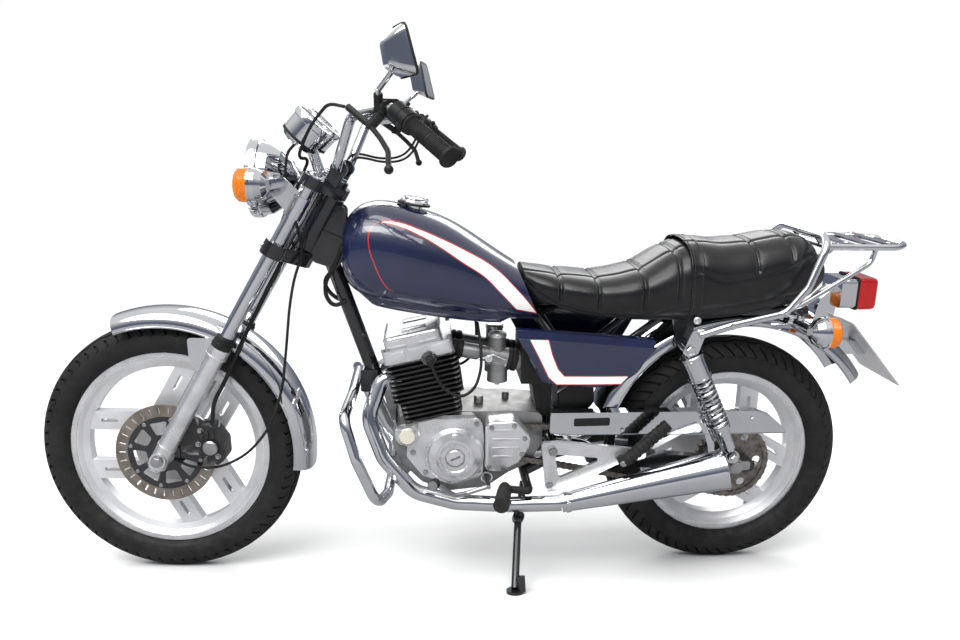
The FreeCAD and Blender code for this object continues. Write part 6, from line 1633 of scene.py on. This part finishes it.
def fork_details():
    """Clamp bolts, slider rings and dust boots of the fork."""
    leg_y = 90.0
    bolts, boots = Form(), Form()
    for side in both_sides:
        y = side * leg_y
        bolt(bolts, fork_point(0, y, 770), steer_axis, 11, 8)
        turned(bolts, [(16.6, 0), (19.5, 0), (19.5, 5), (16.6, 6)], fork_point(0, y, 766), steer_axis, 32,
               closed=True)
        for s in (579, 755):
            bolt(bolts, fork_point(-20, y - side * 2, s) + Vector((-6, 0, 0)), (-1, 0, 0.1), 5.5, 6)
        for s, size in ((319, 24.6), (326, 24.2), (333, 23.6)):
            turned(boots, [(22.0, -2), (size, -1.2), (size, 1.2), (22.0, 2)], fork_point(0, y, s),
                   steer_axis, 32, closed=True)
        for offset in both_sides:
            bolt(bolts, fork_point(36, side * 48 + offset * 8, 822), steer_axis, 4, 6, True)
    bolt(bolts, fork_point(46.9, 0, 780), steer_axis, 14, 8)
    piece("fork_bolts", bolts, "chrome", "fork")
    piece("fork_boot_ribs", boots, "rubber", "fork")
    form = Form()
    for profile in ([(22.1, 30), (23.4, 31), (23.4, 37), (22.1, 38)],
                    [(25.1, 288), (26.2, 289), (26.2, 294), (25.1, 295)]):
        for side in both_sides:
            turned(form, profile, fork_point(0, side * leg_y, 0), steer_axis, 40, closed=True)
    piece("slider_rings", form, "polished_alloy", "fork")


fork_details()


def neck_gussets():
    """Pressed plates between the steering head and the downtube."""
    form = Form()
    outline = rounded([(-1046, 826), (-992, 930), (-948, 914), (-952, 800), (-972, 768), (-1030, 786)], 12)
    for side in both_sides:
        prism(form, outline, side * 20.0, side * 23.0)
    piece("neck_plates", form, "frame_black", bevel=1.0)


neck_gussets()


def caliper_details():
    """Bolts, cover, bleed screw and ribs of the brake caliper."""
    form = Form()
    for x, z in ((-1290, 386), (-1250, 322), (-1296, 352)):
        bolt(form, (x, -85.1, z), -right, 5.5, 7)
    turned(form, [(0, 0), (18, 0), (18, 3), (15, 6), (0, 6.6)], (-1266, -91.4, 345), -right, 40)
    turned(form, [(0, 0), (3, 0), (3, 14), (4.5, 15), (4.5, 20), (0, 21)], (-1250, -72, 392), (0.3, 0, 1), 16)
    piece("caliper_bolts", form, "steel", "fork")
    ribs = Form()
    for x in (-1290, -1277, -1264):
        prism(ribs, rounded([(x, 366), (x + 6, 366), (x + 6, 386), (x, 386)], 2), -84.5, -87.6)
    piece("caliper_ribs", ribs, "fin_black", "fork", bevel=0.6)


caliper_details()

# Mudguards, rack and rails


def guard_edge(centre, radius, half_width, front_deg, rear_deg):
    """Rolled edges along both sides of a mudguard."""
    fall = 42.0
    r = radius - fall + 1.0
    form = Form()
    for side in both_sides:
        y = side * (half_width - 0.6)
        points = []
        for k in range(61):
            a = math.radians(front_deg + (rear_deg - front_deg) * k / 60)
            points.append((centre[0] + r * math.sin(a), y, centre[2] + r * math.cos(a)))
        pipe(form, points, 2.2, 8)
    return form


piece("front_fender_edge", guard_edge(front_axle, 352.0, 60.0, -20.0, 97.0), "chrome", "fork")
piece("rear_fender_edge", guard_edge((20.0, 0.0, 312.0), 375.0, 68.0, -72.0, 56.0), "chrome")


def rack_details():
    """Buttons on the rack, and bolts of the rails and shocks."""
    form = Form()
    for x in (227, 331):
        for side in both_sides:
            turned(form, [(0, 0), (6, 0), (6, 1.5), (4.5, 3.5), (0, 4)], (x, side * 88.0, 854.5),
                   (0, 0, 1), 24)
    for side in both_sides:
        for x, y, z, radius, height in ((-60, 169.0, 670, 6, 6), (64, 168.0, 700, 6, 6),
                                        (shock_top.x, 153.5, shock_top.z, 11, 9),
                                        (shock_bottom.x, 153.5, shock_bottom.z, 10, 9)):
            bolt(form, (x, side * y, z), right * side, radius, height)
    piece("rail_bolts", form, "chrome")


rack_details()


def axle_details():
    """Axle nuts of both wheels, and the chain adjusters."""
    form = Form()
    for side in both_sides:
        bolt(form, rear_axle + right * (side * 118.2), right * side, 16, 15)
        prism(form, rounded([(-34, 288), (38, 292), (38, 314), (-34, 318)], 7), side * 118.0, side * 121.0)
        bolt(form, (52, side * 106, 303), (1, 0, 0), 6, 8)
    piece("rear_axle_nuts", form, "steel", bevel=0.3)
    form = Form()
    for side in both_sides:
        bolt(form, front_axle + right * (side * 113.0), right * side, 12, 11)
    piece("front_axle_nuts", form, "steel", "fork")


axle_details()


def exhaust_details():
    """Clamps and end rings of both silencers."""
    silencer_head = Vector((-436, 160, 228))
    silencer_tail = Vector((-56, 192, 328))
    lip = [(46.4, -3), (48.8, -3), (48.8, 1.0), (46.0, 1.5), (42.0, -10), (42.0, -14), (45.2, -14)]
    form = Form()
    for side in both_sides:
        head = mirrored(silencer_head, side)
        run = mirrored(silencer_tail, side) - head
        turned(form, [(r, run.length + along) for r, along in lip], head, run, 80, closed=True)
        turned(form, [(22.4, 8), (25.0, 8.5), (25.0, 20), (23.2, 20.5)], head, run, 48, closed=True)
        bolt(form, head + run * 0.035 + Vector((0, side * 24, 8)), (0, side, 0.3), 4.5, 9)
    piece("silencer_rings", form, "chrome")


exhaust_details()
